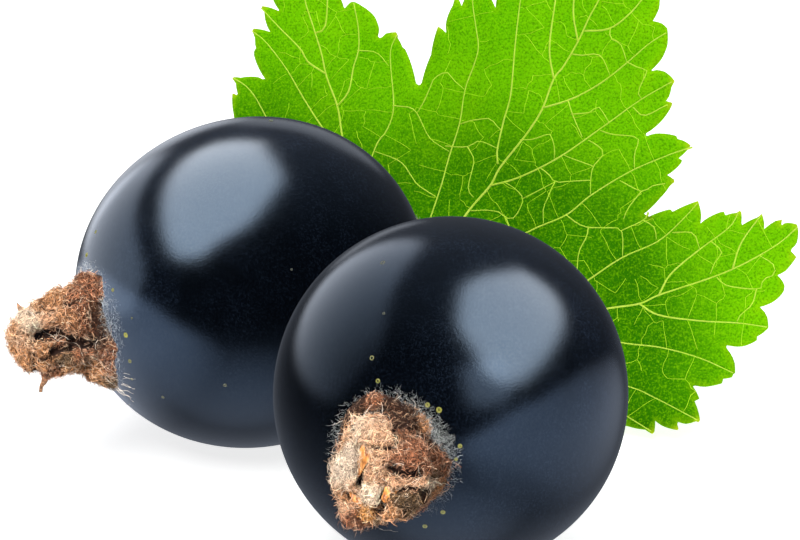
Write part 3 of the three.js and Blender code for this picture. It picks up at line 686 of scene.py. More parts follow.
def glands(berry, seen, finish, rng):
    """Ring-shaped resin glands, some where they are seen and some scattered round the far side."""
    spots = [(*berry.seen((x, y)), size, tone) for x, y, size, tone in seen]
    while len(spots) < len(seen) + HIDDEN_GLANDS:
        way = unit(rng.normal(size=3))
        if way @ CAMERA_VIEW > FAR_SIDE and way[2] > UNDERSIDE:
            stretch = np.linalg.norm(berry.squeezed(way))
            spots.append((berry.centre + way / stretch, way, rng.uniform(*HIDDEN_SIZES), rng.random()))
    parts, tones = [], []
    for place, normal, size, tone in spots:
        side = unit(np.cross(normal, (0.3, 0.5, 0.81)))
        ring = size * spokes(circle(GLAND_SIDES), side, np.cross(normal, side))
        rows = [place + normal * (GLAND_LIFT + size * GLAND_THICK * math.sin(tilt))
                + ring * (GLAND_RADIUS + GLAND_THICK * math.cos(tilt)) for tilt in np.linspace(0, TURN, 7)]
        cup = [place + normal * GLAND_LIFT + ring * GLAND_RADIUS * share for share in (0.9, 0.3)]
        for rings in (rows, cup):
            parts.append((np.array(rings).reshape(-1, 3), ring_faces(len(rings), GLAND_SIDES)))
            tones.append(tone)
    points, faces, tone = merge(parts, tones)
    return piece(f"glands_{berry.name}", points, faces, finish, {"tone": tone})


# ---- withered flowers ----
# A calyx is laid out in its berry's frame: (right, up, out), out being measured from the skin's pole.
# What shows in the picture is placed by its pixel, on the side of the calyx that faces the camera.

CALYX_SIDES, CALYX_RINGS = 210, 130
# a hull's pleats, broad and fine: their number and depth, and how much the broad ones twist
PLEATS, PLEAT_DEPTH, PLEAT_TWIST = 5, 0.08, 2.5
FINE_PLEATS, FINE_DEPTH = 11, 0.04
# a hull is plain below its foot, and its lumps raise it by about its swell
FOOT, SWELL = -0.6, 0.25
# where a line of sight that misses the hull is tried, from where it passes the pole
NEAR_MISS = np.linspace(-5, 5, 201)
STRAND_LIFT, SKIN_LIFT = 0.05, 0.07

BLEACHED = (0.86, 0.68, 0.51)
IVORY = (0.76, 0.58, 0.43)
STRAW = (0.62, 0.36, 0.18)
CREAM = (0.83, 0.62, 0.44)
PINK = (0.8, 0.43, 0.24)
TAN = (0.6, 0.27, 0.11)
AMBER = (0.7, 0.3, 0.07)
RUST = (0.4, 0.15, 0.068)
OLIVE = (0.22, 0.125, 0.055)
UMBER = (0.07, 0.024, 0.01)

FRONT_FLOWER = {
    # the hull's radius and how far out it is, from its foot in the skin to its end
    "profile": [(2.5, -0.62), (2.3, -0.2), (1.95, 0.25), (1.75, 0.8), (1.75, 1.4), (1.82, 2.0), (1.74, 2.5),
                (1.46, 2.85), (1.05, 2.9), (0.55, 2.75), (0.15, 2.6)],
    # how far all but its foot is moved: right, up, out
    "shift": (-0.16, 0.1, 0),
    # shares of the profile's radius: a row for each millimetre out, a column for each 30 degrees
    "girths": [
        [0.87, 0.66, 0.83, 0.89, 1.11, 1.11, 1.06, 1.05, 1.04, 1.16, 0.91, 0.88],
        [0.94, 0.88, 0.93, 1.0, 1.1, 1.1, 1.01, 1.09, 0.97, 0.86, 0.88, 0.96],
        [1.01, 0.98, 0.99, 1.02, 1.05, 0.84, 0.92, 1.0, 1.21, 1.0, 0.98, 1.07],
        [1.02, 1.0, 1.0, 1.02, 1.04, 0.9, 0.97, 1.02, 1.31, 1.04, 0.97, 1.05],
    ],
    # swellings, by their tint: a pixel's x and y, radius, height
    "lumps": {
        UMBER: [(338, 438, 0.4, 0.1), (341, 424, 0.34, 0.2), (345, 413, 0.32, 0.26), (357, 404, 0.36, 0.3),
            (402, 412, 0.6, 0.12), (418, 420, 0.5, 0.12), (425, 437, 0.5, 0.12), (389, 406, 0.5, 0.12),
            (436, 446, 0.4, 0.2), (433, 496, 0.45, 0.12)],
        RUST: [(371, 397, 0.36, 0.3), (409, 432, 0.46, 0.15), (402, 456, 0.62, 0.36), (424, 460, 0.62, 0.38),
            (446, 471, 0.46, 0.36), (441, 455, 0.4, 0.3), (351, 519, 0.34, 0.34)],
        CREAM: [(358, 428, 0.66, 0.44), (432, 483, 0.36, 0.3), (368, 494, 0.44, 0.36)],
        PINK: [(376, 426, 0.6, 0.4), (388, 438, 0.5, 0.36), (368, 441, 0.5, 0.36), (397, 484, 0.45, 0.4),
            (415, 485, 0.42, 0.38), (375, 460, 0.44, 0.34), (375, 476, 0.46, 0.36), (353, 488, 0.36, 0.3),
            (346, 508, 0.32, 0.3)],
        OLIVE: [(404, 503, 0.6, 0.15), (420, 506, 0.5, 0.12)],
        IVORY: [(346, 452, 0.46, 0.4), (340, 466, 0.5, 0.42), (336, 479, 0.45, 0.42), (350, 476, 0.4, 0.34)],
        TAN: [(340, 494, 0.46, 0.34), (388, 512, 0.42, 0.36), (397, 520, 0.3, 0.28)],
        AMBER: [(365, 518, 0.32, 0.36)],
    },
    # gaping folds: pixels along them (x and y in turn), half width, depth
    "folds": [
        ([357, 445, 361, 458, 363, 472, 359, 486], 0.15, 0.95), ([368, 454, 367, 466], 0.08, 0.5),
        ([345, 494, 352, 500, 358, 507], 0.11, 0.6), ([383, 488, 380, 497, 383, 508, 377, 516], 0.14, 0.9),
        ([391, 470, 399, 475, 409, 477, 421, 473], 0.23, 1.1),
        ([346, 430, 351, 415, 365, 409, 381, 407], 0.11, 0.6),
        ([372, 449, 386, 450, 399, 447, 401, 434, 391, 423], 0.1, 0.4),
        ([392, 493, 410, 492, 432, 489], 0.1, 0.45),
    ],
    # shreds of petal: pixels along them, half widths
    "petals": [
        ([361, 444, 362, 456, 361, 468, 357, 483], [0.2, 0.28, 0.2, 0.05]),
        ([347, 495, 353, 501, 359, 508], [0.05, 0.15, 0.1]),
        ([393, 487, 388, 491, 380, 502], [0.1, 0.3, 0.1]),
        ([371, 451, 369, 459, 366, 467], [0.04, 0.09, 0.03]),
    ],
    # the halo of silver hairs: how far out it reaches each 30 degrees, their number, and how long they are
    "ring": [2.5, 2.35, 2.4, 2.58, 2.7, 2.8, 3.1, 3.1, 2.7, 2.7, 2.95, 2.65],
    "ring_hairs": 5000,
    "ring_length": 1.0,
    "petal_look": "petal",
    # long loose hairs: pixels along them
    "strands": [
        [331, 462, 329, 470, 333, 478, 340, 482], [372, 520, 380, 527, 398, 530],
    ],
}
BACK_FLOWER = {
    "profile": [(2.5, -0.62), (2.3, -0.2), (2.0, 0.3), (1.85, 0.9), (1.75, 1.5), (1.66, 2.1), (1.5, 2.7),
                (1.2, 3.15), (0.75, 3.4), (0.15, 3.45)],
    "shift": (-0.15, 0.3, 0),
    "girths": [
        [0.87, 0.61, 0.71, 1.09, 0.92, 0.74, 0.86, 1.0, 1.06, 1.25, 1.08, 0.84],
        [0.87, 0.84, 0.9, 1.08, 0.79, 0.68, 0.78, 0.82, 0.83, 0.76, 0.88, 0.67],
        [1.05, 1.0, 0.92, 0.82, 0.82, 0.69, 0.64, 0.59, 0.55, 0.6, 0.87, 0.97],
        [1.17, 1.08, 0.91, 0.72, 0.69, 0.57, 0.59, 0.54, 0.5, 0.51, 0.82, 1.14],
    ],
    "lumps": {
        RUST: [(83, 276, 0.42, 0.4), (96, 287, 0.5, 0.3), (74, 292, 0.6, 0.3), (85, 309, 0.66, 0.3),
            (84, 328, 0.5, 0.3), (52, 373, 0.44, 0.38), (84, 357, 0.56, 0.26), (102, 358, 0.5, 0.24),
            (112, 352, 0.4, 0.16), (108, 374, 0.4, 0.2)],
        TAN: [(56, 297, 0.6, 0.34), (38, 304, 0.5, 0.36), (15, 326, 0.5, 0.45), (66, 318, 0.7, 0.34),
            (45, 346, 0.5, 0.36), (23, 362, 0.5, 0.42), (38, 366, 0.44, 0.36), (96, 374, 0.4, 0.3)],
        CREAM: [(24, 314, 0.5, 0.4), (28, 323, 0.4, 0.4), (91, 314, 0.16, 0.2)],
        PINK: [(7, 337, 0.36, 0.36), (22, 340, 0.44, 0.36), (48, 314, 0.6, 0.36)],
        UMBER: [(102, 322, 0.56, 0.2), (103, 342, 0.5, 0.2)],
        OLIVE: [(66, 360, 0.56, 0.26)],
    },
    "folds": [
        ([37, 333, 48, 332, 60, 333], 0.34, 1.4), ([75, 341, 85, 343, 95, 346], 0.27, 1.1),
        ([53, 352, 64, 350, 74, 347], 0.22, 0.75), ([29, 352, 31, 359], 0.1, 0.5),
        ([36, 361, 52, 362, 63, 366], 0.1, 0.4), ([62, 302, 74, 303, 84, 300], 0.1, 0.35),
        ([26, 310, 42, 309, 52, 306], 0.08, 0.35), ([33, 380, 33, 372, 31, 362], 0.12, 0.6),
    ],
    "petals": [
        ([49, 376, 44, 382, 41, 387, 41, 392], [0.22, 0.17, 0.12, 0.07]),
        ([22, 311, 19, 307, 17, 303], [0.14, 0.1, 0.02]),
    ],
    "ring": [2.4, 2.65, 2.55, 2.65, 2.6, 2.5, 2.5, 2.5, 2.6, 2.7, 3.0, 2.8],
    "ring_hairs": 1700,
    "ring_length": 1.35,
    "petal_look": "dried",
    "strands": [
        [36, 322, 50, 335, 57, 341, 76, 345, 80, 350, 82, 357], [45, 363, 58, 367, 72, 366, 86, 361],
        [93, 343, 108, 337, 116, 333], [70, 340, 60, 336, 50, 337], [96, 355, 103, 366, 112, 372],
        [100, 374, 112, 383, 124, 391, 135, 401], [104, 370, 118, 380, 132, 386],
        [98, 380, 110, 392, 122, 401, 132, 403], [106, 366, 120, 374, 137, 379],
        [95, 366, 106, 374, 119, 378, 128, 377], [108, 374, 119, 386, 134, 392],
        [99, 370, 109, 380, 118, 388, 129, 395], [111, 361, 119, 370, 131, 374],
        [110, 384, 121, 392, 133, 396], [112, 376, 124, 384, 136, 388],
    ],
}


def each_30_degrees(turn, values):
    """Values given at each 30 degrees of a whole turn, between them at other angles."""
    return np.interp(turn * 6 / math.pi, np.arange(13), [*values, values[0]])


class Hull:
    """A calyx before it is crumpled: a pleated tube, and where the camera's lines of sight meet it."""

    def __init__(self, berry, flower):
        self.berry = berry
        profile = smooth_path(flower["profile"], CALYX_RINGS - 1)
        radius, out = profile[:, :1], profile[:, 1:]
        turn = circle(CALYX_SIDES)
        pleats = PLEAT_DEPTH * np.sin(PLEATS * turn + PLEAT_TWIST * out)
        pleats = pleats + FINE_DEPTH * np.sin(FINE_PLEATS * turn + 1)
        girths = np.array([each_30_degrees(turn, row) for row in flower["girths"]])
        share = np.clip(out[:, 0], 0, len(girths) - 1)
        girth = np.stack([np.interp(share, np.arange(len(girths)), column) for column in girths.T], axis=1)
        radius = berry.girth * radius * (1 + pleats * ease(out, FOOT, 0.6)) * girth
        rows = np.stack([radius * np.cos(turn), radius * np.sin(turn), out + 0 * radius], axis=-1)
        points, self.faces = closed_rings(rows)
        self.points = points + ease(points[:, 2:], FOOT, 0.4) * np.array(flower["shift"])
        self.normals = normals_of(self.points, self.faces)
        self.tree = BVHTree.FromPolygons((self.points + SWELL * self.normals).tolist(), self.faces)

    def sight(self, pixel):
        """The line of sight through a pixel, in the flower's frame."""
        turn = self.berry.turn
        return Vector(turn @ (CAMERA_PLACE - self.berry.pole)), Vector(turn @ line_of_sight(pixel))

    def seen(self, pixel, lift=0.0):
        """The place on the hull, raised by lift, whose swelling a pixel's line of sight meets.

        A line of sight that misses it gives the place where it passes nearest.
        """
        start, way = self.sight(pixel)
        place, normal = self.tree.ray_cast(start, way)[:2]
        if place is None:
            beside = [start + way * (reach - start.dot(way)) for reach in NEAR_MISS]
            return np.array(min(beside, key=lambda spot: self.tree.find_nearest(spot)[3]))
        return np.array(place) + np.array(normal) * (lift - SWELL)

    def resting(self, pixel, tree):
        """A place just above the crumpled flower, or above the skin where the flower isn't in sight."""
        place, normal = tree.ray_cast(*self.sight(pixel))[:2]
        if place is not None:
            return np.array(place) + np.array(normal) * STRAND_LIFT
        on_berry = self.berry.seen(pixel)
        if on_berry is None:
            return self.seen(pixel)
        return self.berry.turn @ (on_berry[0] + on_berry[1] * SKIN_LIFT - self.berry.pole)


STRAY_TINTS = (PINK, TAN, RUST, OLIVE, UMBER, RUST, TAN)
# lumps put at random places clear of the others: how many are tried, how far apart and how far out
STRAY_TRIES, STRAY_GAP, STRAY_FOOT = 400, 0.72, -0.3
STRAY_SIZES, STRAY_HEIGHTS = (0.45, 0.75), (0.2, 0.45)
# a lump's reach and how far it is warped, and how fast its tint fades
LUMP_SPREAD, LUMP_WARP, LUMP_FALL = 1.15, 0.16, 3.2
# the depth and size of the crumpling between the lumps, coarse and fine
CRUMPLE, CRUMPLE_SIZE = 0.1, 0.5
FINE_CRUMPLE, FINE_CRUMPLE_SIZE = 0.07, 0.22
SINK = 0.2
# how much painted shade darkens the hollows between lumps and the fine creases, and the height below which it
# sets in
HOLLOW_SHADE, HOLLOW_BELOW = 0.85, 0.1
CREASE_SHADE, CREASE_BELOW = 0.35, 0.09


def flower_shape(hull, flower, rng):
    """Crumples a hull: points, and marks for tint and for the painted shade of its hollows, creases and
    folds.
    """
    points, normals = hull.points, hull.normals
    held = ease(points[:, 2], -0.5, 0.25)
    lumps = [(hull.seen((x, y)), size, height, tint)
             for tint, spots in flower["lumps"].items() for x, y, size, height in spots]
    named = np.array([place for place, *_ in lumps])
    for _ in range(STRAY_TRIES):
        place = points[rng.integers(len(points))]
        if place[2] > STRAY_FOOT and apart(named, place).min() > STRAY_GAP:
            size, height = rng.uniform(*STRAY_SIZES), rng.uniform(*STRAY_HEIGHTS)
            lumps.append((place, size, height, STRAY_TINTS[rng.integers(len(STRAY_TINTS))]))
            named = np.vstack([named, place])
    warp = grains(points, 0.8, 5.2, 9.7, 14.1)
    warped = points + LUMP_WARP * warp
    away = np.array([apart(warped, place) / (size * LUMP_SPREAD) for place, size, *_ in lumps])
    heights = np.array([[height] for _, _, height, _ in lumps])
    rise = np.max(heights * np.sqrt(np.clip(1 - away**2, 0, 1)), axis=0)
    weights = np.exp(-LUMP_FALL * away**2)
    weights /= weights.sum(0) + 1e-9
    tint = weights.T @ np.array([tint for *_, tint in lumps])
    crumple = CRUMPLE * billow(points + 0.12 * warp, CRUMPLE_SIZE, 7.0)
    crumple = crumple + FINE_CRUMPLE * billow(points, FINE_CRUMPLE_SIZE, 3.0)
    push = rise + crumple - SINK
    fold_shade = HOLLOW_SHADE * ease(HOLLOW_BELOW - rise, 0, HOLLOW_BELOW)
    fold_shade = fold_shade + CREASE_SHADE * ease(CREASE_BELOW - crumple, 0, CREASE_BELOW)
    places = points + normals * (push * held)[:, None]
    for pixels, width, depth in flower["folds"]:
        pixels = np.reshape(pixels, (-1, 2))
        way = np.array(hull.sight(pixels[0])[1])
        path = smooth_path([hull.seen(pixel) for pixel in pixels], 10)
        beside = from_path(places - np.outer(places @ way, way), path - np.outer(path @ way, way))
        cut = np.exp(-(beside / width) ** 2) * ease(-normals @ way, 0, 0.35)
        places = places + np.outer(depth * cut * held, way)
        # each fold is painted dark, as shade
        fold_shade = np.maximum(fold_shade, ease(cut, 0.25, 0.75))
    return places, tint, np.clip(fold_shade, 0, 1)


FELT_HAIRS, FELT_LENGTHS, FELT_THICK, FELT_CURL = 7800, (0.14, 0.48), 0.0102, 3.4
LOOSE_HAIRS, LOOSE_LENGTHS, LOOSE_THICK, LOOSE_CURL = 110, (0.3, 0.8), 0.0075, 1.8
STRAND_RADII = (0.004, 0.006, 0.006, 0.003)
STRAND_TONE = 0.6
SILVER_LENGTHS, SILVER_THICK, SILVER_CURL = (0.12, 0.36), 0.0036, 3.0
RING_START = 1.5
PETAL_DEPTH, PETAL_THIN, PETAL_CURL = 0.17, 0.16, 0.04


def paleness(tint):
    """How pale a tint is, 1 being cream."""
    return tint[:, 1:2] / CREAM[1]


def felt(berry, points, faces, tint, fold_shade, finish, rng):
    """Matted curly hairs over the withered flower, thick on its crests and thin in its folds."""
    dense = (0.06 + (1 - fold_shade) ** 2) * (0.35 + 0.65 * np.sqrt(paleness(tint)[:, 0]))
    places, normals, corners = seeds_on(points, faces, FELT_HAIRS, dense, rng)
    ways = np.cross(normals, rng.normal(size=normals.shape))
    ways = unit(ways + normals * rng.uniform(0, 0.45, (FELT_HAIRS, 1)))
    lengths = rng.uniform(*FELT_LENGTHS, FELT_HAIRS)
    roots = places + normals * rng.uniform(-0.01, 0.06, (FELT_HAIRS, 1))
    shape, hair_faces = hairs(roots, ways, lengths, FELT_THICK, FELT_CURL, rng, under=normals)
    own = tint[corners].mean(1)
    light = paleness(own) ** 0.45
    bleached = np.array(BLEACHED) * light + np.array(STRAW) * (1 - light)
    pale = rng.beta(0.5, 1.3, (FELT_HAIRS, 1))
    # each hair's random brightness paints shade on some hairs and highlights on others; pale hairs are kept
    # lighter
    shade = 0.06 + 1.5 * rng.beta(0.75, 0.8, (FELT_HAIRS, 1))
    shade = shade + np.maximum(1 - shade, 0) * 0.45 * light**5
    tint = per_hair(np.clip((own * (1 - pale) + bleached * pale) * shade, 0, 0.95))
    return piece(f"felt_{berry.name}", berry.to_part(shape), hair_faces, finish, {"tint": tint})


def loose_hairs(berry, hull, points, fold_shade, flower, finish, rng):
    """Wisps that stand off the felt, and long strands that lie across it."""
    places, normals, _ = seeds_on(points, hull.faces, LOOSE_HAIRS, 0.2 + (1 - fold_shade), rng)
    ways = unit(normals + rng.normal(0, 0.8, normals.shape) - (0, 0, 0.35))
    lengths = rng.uniform(*LOOSE_LENGTHS, LOOSE_HAIRS)
    parts = [hairs(places, ways, lengths, LOOSE_THICK, LOOSE_CURL, rng, WISP_STATIONS)]
    tree = BVHTree.FromPolygons(points.tolist(), hull.faces)
    for pixels in flower["strands"]:
        pixels = smooth_path(np.reshape(pixels, (-1, 2)), 12)
        path = [hull.resting(pixel + rng.normal(0, 0.5, 2), tree) for pixel in pixels]
        parts.append(closed_rings(tube_rows(smooth_path(path, 36), STRAND_RADII, 5)))
    tones = [per_hair(rng.random(LOOSE_HAIRS), WISP_STATIONS)] + [STRAND_TONE] * len(flower["strands"])
    shape, faces, tone = merge(parts, tones)
    return piece(f"wisps_{berry.name}", berry.to_part(shape), faces, finish, {"tone": tone})


def skin_hairs(berry, flower, finish, rng):
    """A halo of fine silver hairs on the skin round the flower's base, longest next to it."""
    count = flower["ring_hairs"]
    turn = rng.uniform(0, TURN, count)
    share = rng.beta(1.1, 1.7, count)
    radius = berry.girth * (RING_START + (each_30_degrees(turn, flower["ring"]) - RING_START) * share)
    spoke = spokes(turn, (1, 0, 0), (0, 1, 0))
    roots = radius[:, None] * spoke + flower["shift"]
    slope = np.sqrt(1 - (roots[:, :2] ** 2).sum(1) / berry.equator**2)
    roots[:, 2] = berry.half * (slope - 1)
    normals = unit(np.column_stack([roots[:, :2], slope * berry.equator]))
    ways = unit(0.6 * spoke + 0.4 * normals + rng.normal(0, 0.5, roots.shape))
    ways = unit(ways + normals * np.maximum(0, 0.15 - (ways * normals).sum(1, keepdims=True)))
    lengths = flower["ring_length"] * rng.uniform(*SILVER_LENGTHS, count) * (1 + 0.9 * (1 - share) ** 2)
    shape, faces = hairs(roots, ways, lengths, SILVER_THICK, SILVER_CURL, rng, SHORT_STATIONS)
    tone = per_hair(rng.beta(1.1, 2.0, count), SHORT_STATIONS)
    return piece(f"silver_hairs_{berry.name}", berry.to_part(shape), faces, finish, {"tone": tone})


def petals(berry, hull, flower, finish):
    """Shreds of dried petal, each a thin curved flake that stands in its fold."""
    parts = []
    for pixels, widths in flower["petals"]:
        pixels = np.reshape(pixels, (-1, 2))
        spine = smooth_path([hull.seen(pixel, -PETAL_DEPTH) for pixel in pixels], 16)
        facing = -np.array(hull.sight(pixels[1])[1])
        wide = unit(np.cross(spine[-1] - spine[0], facing))
        parts.append(closed_rings(tube_rows(spine, widths, 14, PETAL_THIN, wide)))
    points, faces = merge(parts)
    points = points + PETAL_CURL * grains(points, 0.3, 1, 4, 8)
    none = np.zeros(len(points))
    return piece(f"petals_{berry.name}", berry.to_part(points), faces, finish,
                 {"tint": np.tile(PINK, (len(points), 1)), "fold_shade": none, "pale": none})


def withered_flower(berry, flower, looks, rng):
    hull = Hull(berry, flower)
    points, tint, fold_shade = flower_shape(hull, flower, rng)
    marks = {"tint": tint, "fold_shade": fold_shade, "pale": paleness(tint)[:, 0] ** 2}
    return [
        piece(f"dried_flower_{berry.name}", berry.to_part(points), hull.faces, looks["dried"], marks,
              replaces=[f"calyx_{berry.name}"]),
        felt(berry, points, hull.faces, tint, fold_shade, looks["felt_hair"], rng),
        loose_hairs(berry, hull, points, fold_shade, flower, looks["wisp"], rng),
        skin_hairs(berry, flower, looks["silver"], rng),
        petals(berry, hull, flower, looks[flower["petal_look"]]),
    ]


# ---- leaf ----

BLADE_THICK, EDGE_THIN, EDGE_WIDTH = 0.16, 0.35, 0.25
BLADE_GRID, GRID_ROW = 0.3, 0.866
# how high the blade puffs up, how far from a vein it starts and is full, and from the margin
QUILT, QUILT_START, QUILT_FULL, QUILT_MARGIN = 0.09, 0.05, 0.9, 0.5
MARGIN_STEP = 0.2
TOOTH_ROUND = 0.12
TOOTH_FLANK = 0.4
TOOTH_TURN = 1.1
TIP_REACH, RIM_WIDTH = 0.17, 0.16
NET_CELL = 1.15
NET_SEEDS = 6000
NET_CLEAR, NET_SHORTEST, NET_LONGEST = 0.22, 0.12, 2.2
NET_LEFT_OUT = 0.3
NET_SWAY = 0.035
VEIN_SIDES, VEIN_STEP = 8, 0.25
# how far a vein stands out of the blade's upper and lower face, as shares of its half width, and at least
VEIN_ABOVE, VEIN_BELOW, VEIN_LEAST = 0.5, 1.1, 0.02
LEAF_SPOTS = [((10.46, 6.64), 0.16), ((10.26, 6.72), 0.1)]
# where the fruit shades the blade: the middle of each shadow, and how far it is full and fades out
FRUIT_SHADES = [((3.35, -2.1), 9.0, 14.0), ((-6.6, 1.3), 5.8, 11.0)]


def on_blade(flat, lift=0.0):
    """From the blade's plane to the part's frame; lift is a height over the waved middle surface."""
    x, y = flat.T
    waves = WAVE * np.sin(WAVE_ACROSS[0] * x + WAVE_ACROSS[1]) * np.sin(WAVE_UP[0] * y + WAVE_UP[1])
    away = ((x - LOW_LOBE[0]) ** 2 + (y - LOW_LOBE[1]) ** 2) / LOW_LOBE_REACH**2
    rise = waves - DOME * (x - DOME_LINE) ** 2 + LOW_LOBE_LIFT * np.exp(-away) + lift
    across = np.array([math.cos(LEAF_YAW), math.sin(LEAF_YAW), 0])
    turned = np.array([-math.sin(LEAF_YAW), math.cos(LEAF_YAW), 0])
    up = turned * math.sin(LEAF_LEAN) + np.array([0, 0, math.cos(LEAF_LEAN)])
    return LEAF_BASE + flat[:, :1] * across + flat[:, 1:] * up + rise[:, None] * np.cross(across, up)


def toothed_margin():
    """The closed margin in short steps, its teeth's long sides slightly rounded, and each tooth's tip."""
    margin = []
    for start, end in pairs_round(MARGIN):
        leg = end - start
        outward = np.array([leg[1], -leg[0]])
        steps = max(1, round(np.linalg.norm(leg) / MARGIN_STEP))
        for share in np.arange(steps) / steps:
            margin.append(start + leg * share + outward * TOOTH_ROUND * share * (1 - share))
    loop = np.array(margin + margin[:1])
    margin, along = loop[:-1], running(loop)

    def at(length):
        return np.stack([np.interp(length % along[-1], along, column) for column in loop.T], axis=1)

    arriving = margin - at(along[:-1] - TOOTH_FLANK)
    leaving = at(along[:-1] + TOOTH_FLANK) - margin
    turn = np.arctan2(np.cross(arriving, leaving), (arriving * leaving).sum(1))
    tips = margin[[np.argmax(turn)]]
    for k in np.argsort(-turn):
        if turn[k] > TOOTH_TURN and apart(tips, margin[k]).min() > TOOTH_FLANK:
            tips = np.vstack([tips, margin[k]])
    return loop, tips


def inside(points, loop):
    """Whether each point lies inside a closed outline."""
    within = np.zeros(len(points), bool)
    for (x0, y0), (x1, y1) in zip(loop, loop[1:]):
        if y0 != y1:
            crosses = (y0 > points[:, 1]) != (y1 > points[:, 1])
            within ^= crosses & (points[:, 0] < x0 + (points[:, 1] - y0) / (y1 - y0) * (x1 - x0))
    return within


def quilt(flat, loop):
    """How far the blade puffs up between its larger veins."""
    puff = QUILT * ease(from_paths(flat, MAIN_VEINS + SIDE_VEINS), QUILT_START, QUILT_FULL)
    return puff * ease(from_path(flat, loop), 0, QUILT_MARGIN)


def triangulated(points, edges=(), how=0):
    """Points and triangles of a flat net over points."""
    points = [Vector(point) for point in points]
    places, _, triangles = delaunay_2d_cdt(points, list(edges), [], how, 1e-6)[:3]
    return np.array([tuple(place) for place in places]), [tuple(triangle) for triangle in triangles]


def net_veins(loop, rng):
    """The finest veins: edges of cells packed between the larger ones, some left out to free the ends."""
    stems = [smooth_path(path, 60) for path in MAIN_VEINS + SIDE_VEINS]
    seeds = []
    for path in stems:
        leg = np.gradient(path, axis=0)
        ahead, run = unit(leg), np.cumsum(np.linalg.norm(leg, axis=1))
        for k in np.searchsorted(run, np.arange(NET_CELL / 2, run[-1], NET_CELL)):
            aside = np.array([ahead[k][1], -ahead[k][0]]) * NET_CELL / 2
            seeds += [path[k] + aside, path[k] - aside]
    for place in rng.uniform(loop.min(0), loop.max(0), (NET_SEEDS, 2)):
        if apart(np.array(seeds), place).min() > 0.8 * NET_CELL:
            seeds.append(place)
    places, triangles = triangulated(seeds)
    shared, centres = {}, []
    for number, face in enumerate(triangles):
        for side in pairs_round(face):
            shared.setdefault(tuple(sorted(side)), []).append(number)
        a, b, c = places[list(face)]
        centres.append(np.linalg.solve([b - a, c - a], [(b @ b - a @ a) / 2, (c @ c - a @ a) / 2]))
    edges = np.array([[centres[one], centres[other]] for one, *rest in shared.values() for other in rest])
    shares = np.linspace(0, 1, 4)[None, :, None]
    lines = edges[:, :1] * (1 - shares) + edges[:, 1:] * shares
    span = np.linalg.norm(edges[:, 1] - edges[:, 0], axis=1)
    within = inside(lines.reshape(-1, 2), loop).reshape(-1, 4).all(1)
    away = from_paths(lines.reshape(-1, 2), stems).reshape(-1, 4)
    clear = (away.max(1) > NET_CLEAR) & (span > NET_SHORTEST) & (span < NET_LONGEST)
    chosen = lines[within & clear & (rng.random(len(lines)) > NET_LEFT_OUT)]
    chosen[:, 1:3] += rng.normal(0, NET_SWAY, chosen[:, 1:3].shape)
    return list(chosen)


def lamina(loop, tips, finish):
    """The blade: two faces that follow its waves, quilted up between the veins, and an edge."""
    low, high = loop.min(0), loop.max(0)
    rows = np.arange(low[1], high[1], BLADE_GRID * GRID_ROW)
    grid = np.array([(x + (k % 2) * BLADE_GRID / 2, y)
                     for k, y in enumerate(rows) for x in np.arange(low[0], high[0], BLADE_GRID)])
    grid = grid[inside(grid, loop)]
    grid = grid[from_path(grid, loop) > BLADE_GRID * 0.4]
    flat, triangles = triangulated([*loop[:-1], *grid], pairs_round(range(len(loop) - 1)), 1)
    count = len(flat)
    edge, puff = from_path(flat, loop), quilt(flat, loop)
    thick = BLADE_THICK * (EDGE_THIN + (1 - EDGE_THIN) * ease(edge, 0, EDGE_WIDTH))
    points = np.vstack([on_blade(flat, puff + thick / 2), on_blade(flat, puff - thick / 2)])
    faces = triangles + [tuple(count + k for k in face[::-1]) for face in triangles]
    sides = [side for face in triangles for side in pairs_round(face)]
    inner = set(sides)
    faces += [(end, start, count + start, count + end) for start, end in sides if (end, start) not in inner]
    marks = {
        "tip": 0.85 * np.exp(-(np.min([apart(flat, tip) for tip in tips], axis=0) / TIP_REACH) ** 2),
        "spot": 0.8 * np.max([np.exp(-(apart(flat, at) / radius) ** 4) for at, radius in LEAF_SPOTS], axis=0),
        "shade": np.max([1 - ease(apart(flat, dark), near, far) for dark, near, far in FRUIT_SHADES], axis=0),
        "rim": 1 - ease(edge, 0, RIM_WIDTH),
    }
    marks = {key: np.tile(values, 2) for key, values in marks.items()}
    return piece("leaf_lamina", points, faces, finish, marks, ["leaf_blade"])


def vein_tube(path, start, end, loop):
    """One vein: an oval cord through the blade that stands proud of both its faces."""
    flat = smooth_path(path, max(3, int(running(path)[-1] / VEIN_STEP)))
    puff = quilt(flat, loop)
    widths = np.linspace(start, end, len(flat))
    ahead = unit(np.gradient(flat, axis=0))
    aside = np.stack([ahead[:, 1], -ahead[:, 0]], axis=1)
    rows = []
    for turn in circle(VEIN_SIDES):
        depth = VEIN_ABOVE if math.sin(turn) > 0 else VEIN_BELOW
        lift = (BLADE_THICK / 2 + VEIN_LEAST + depth * widths) * math.sin(turn)
        rows.append(on_blade(flat + aside * (widths * math.cos(turn))[:, None], puff + lift))
    return closed_rings(np.stack(rows, axis=1))


def leaf_veins(loop, finish, rng):
    parts, stout = [], []
    # each order's veins, their radius at the root and at the end, and how straw-coloured they are
    for paths, start, end, share in (
        (MAIN_VEINS, 0.085, 0.032, 1.0),
        (SIDE_VEINS, 0.056, 0.028, 0.5),
        (LINK_VEINS, 0.036, 0.026, 0.3),
        (net_veins(loop, rng), 0.019, 0.016, 0.0),
    ):
        parts += [vein_tube(path, start, end, loop) for path in paths]
        stout += [share] * len(paths)
    points, faces, stout = merge(parts, stout)
    return piece("leaf_veins", points, faces, finish, {"stout": stout})


# ---- stalks and twig ----

GAP = 0.25
FORK = (-1.3, 14.5, 1.0)
SPUR_MOUTH = 27.2
TWIG_HEIGHT = 1.27
PEDICEL = (0.42, 0.33, 0.33, 0.36, 0.62)
DOWN_HAIRS, DOWN_SHORTEST, DOWN_THICK, DOWN_CURL = 2600, 0.08, 0.009, 0.3
RIDGES, RIDGE_DEPTH, STALK_UNEVEN = 5, 0.05, 0.05
BARK_SIDES, BARK_CRACK, BARK_LUMP = 80, 0.045, 0.04


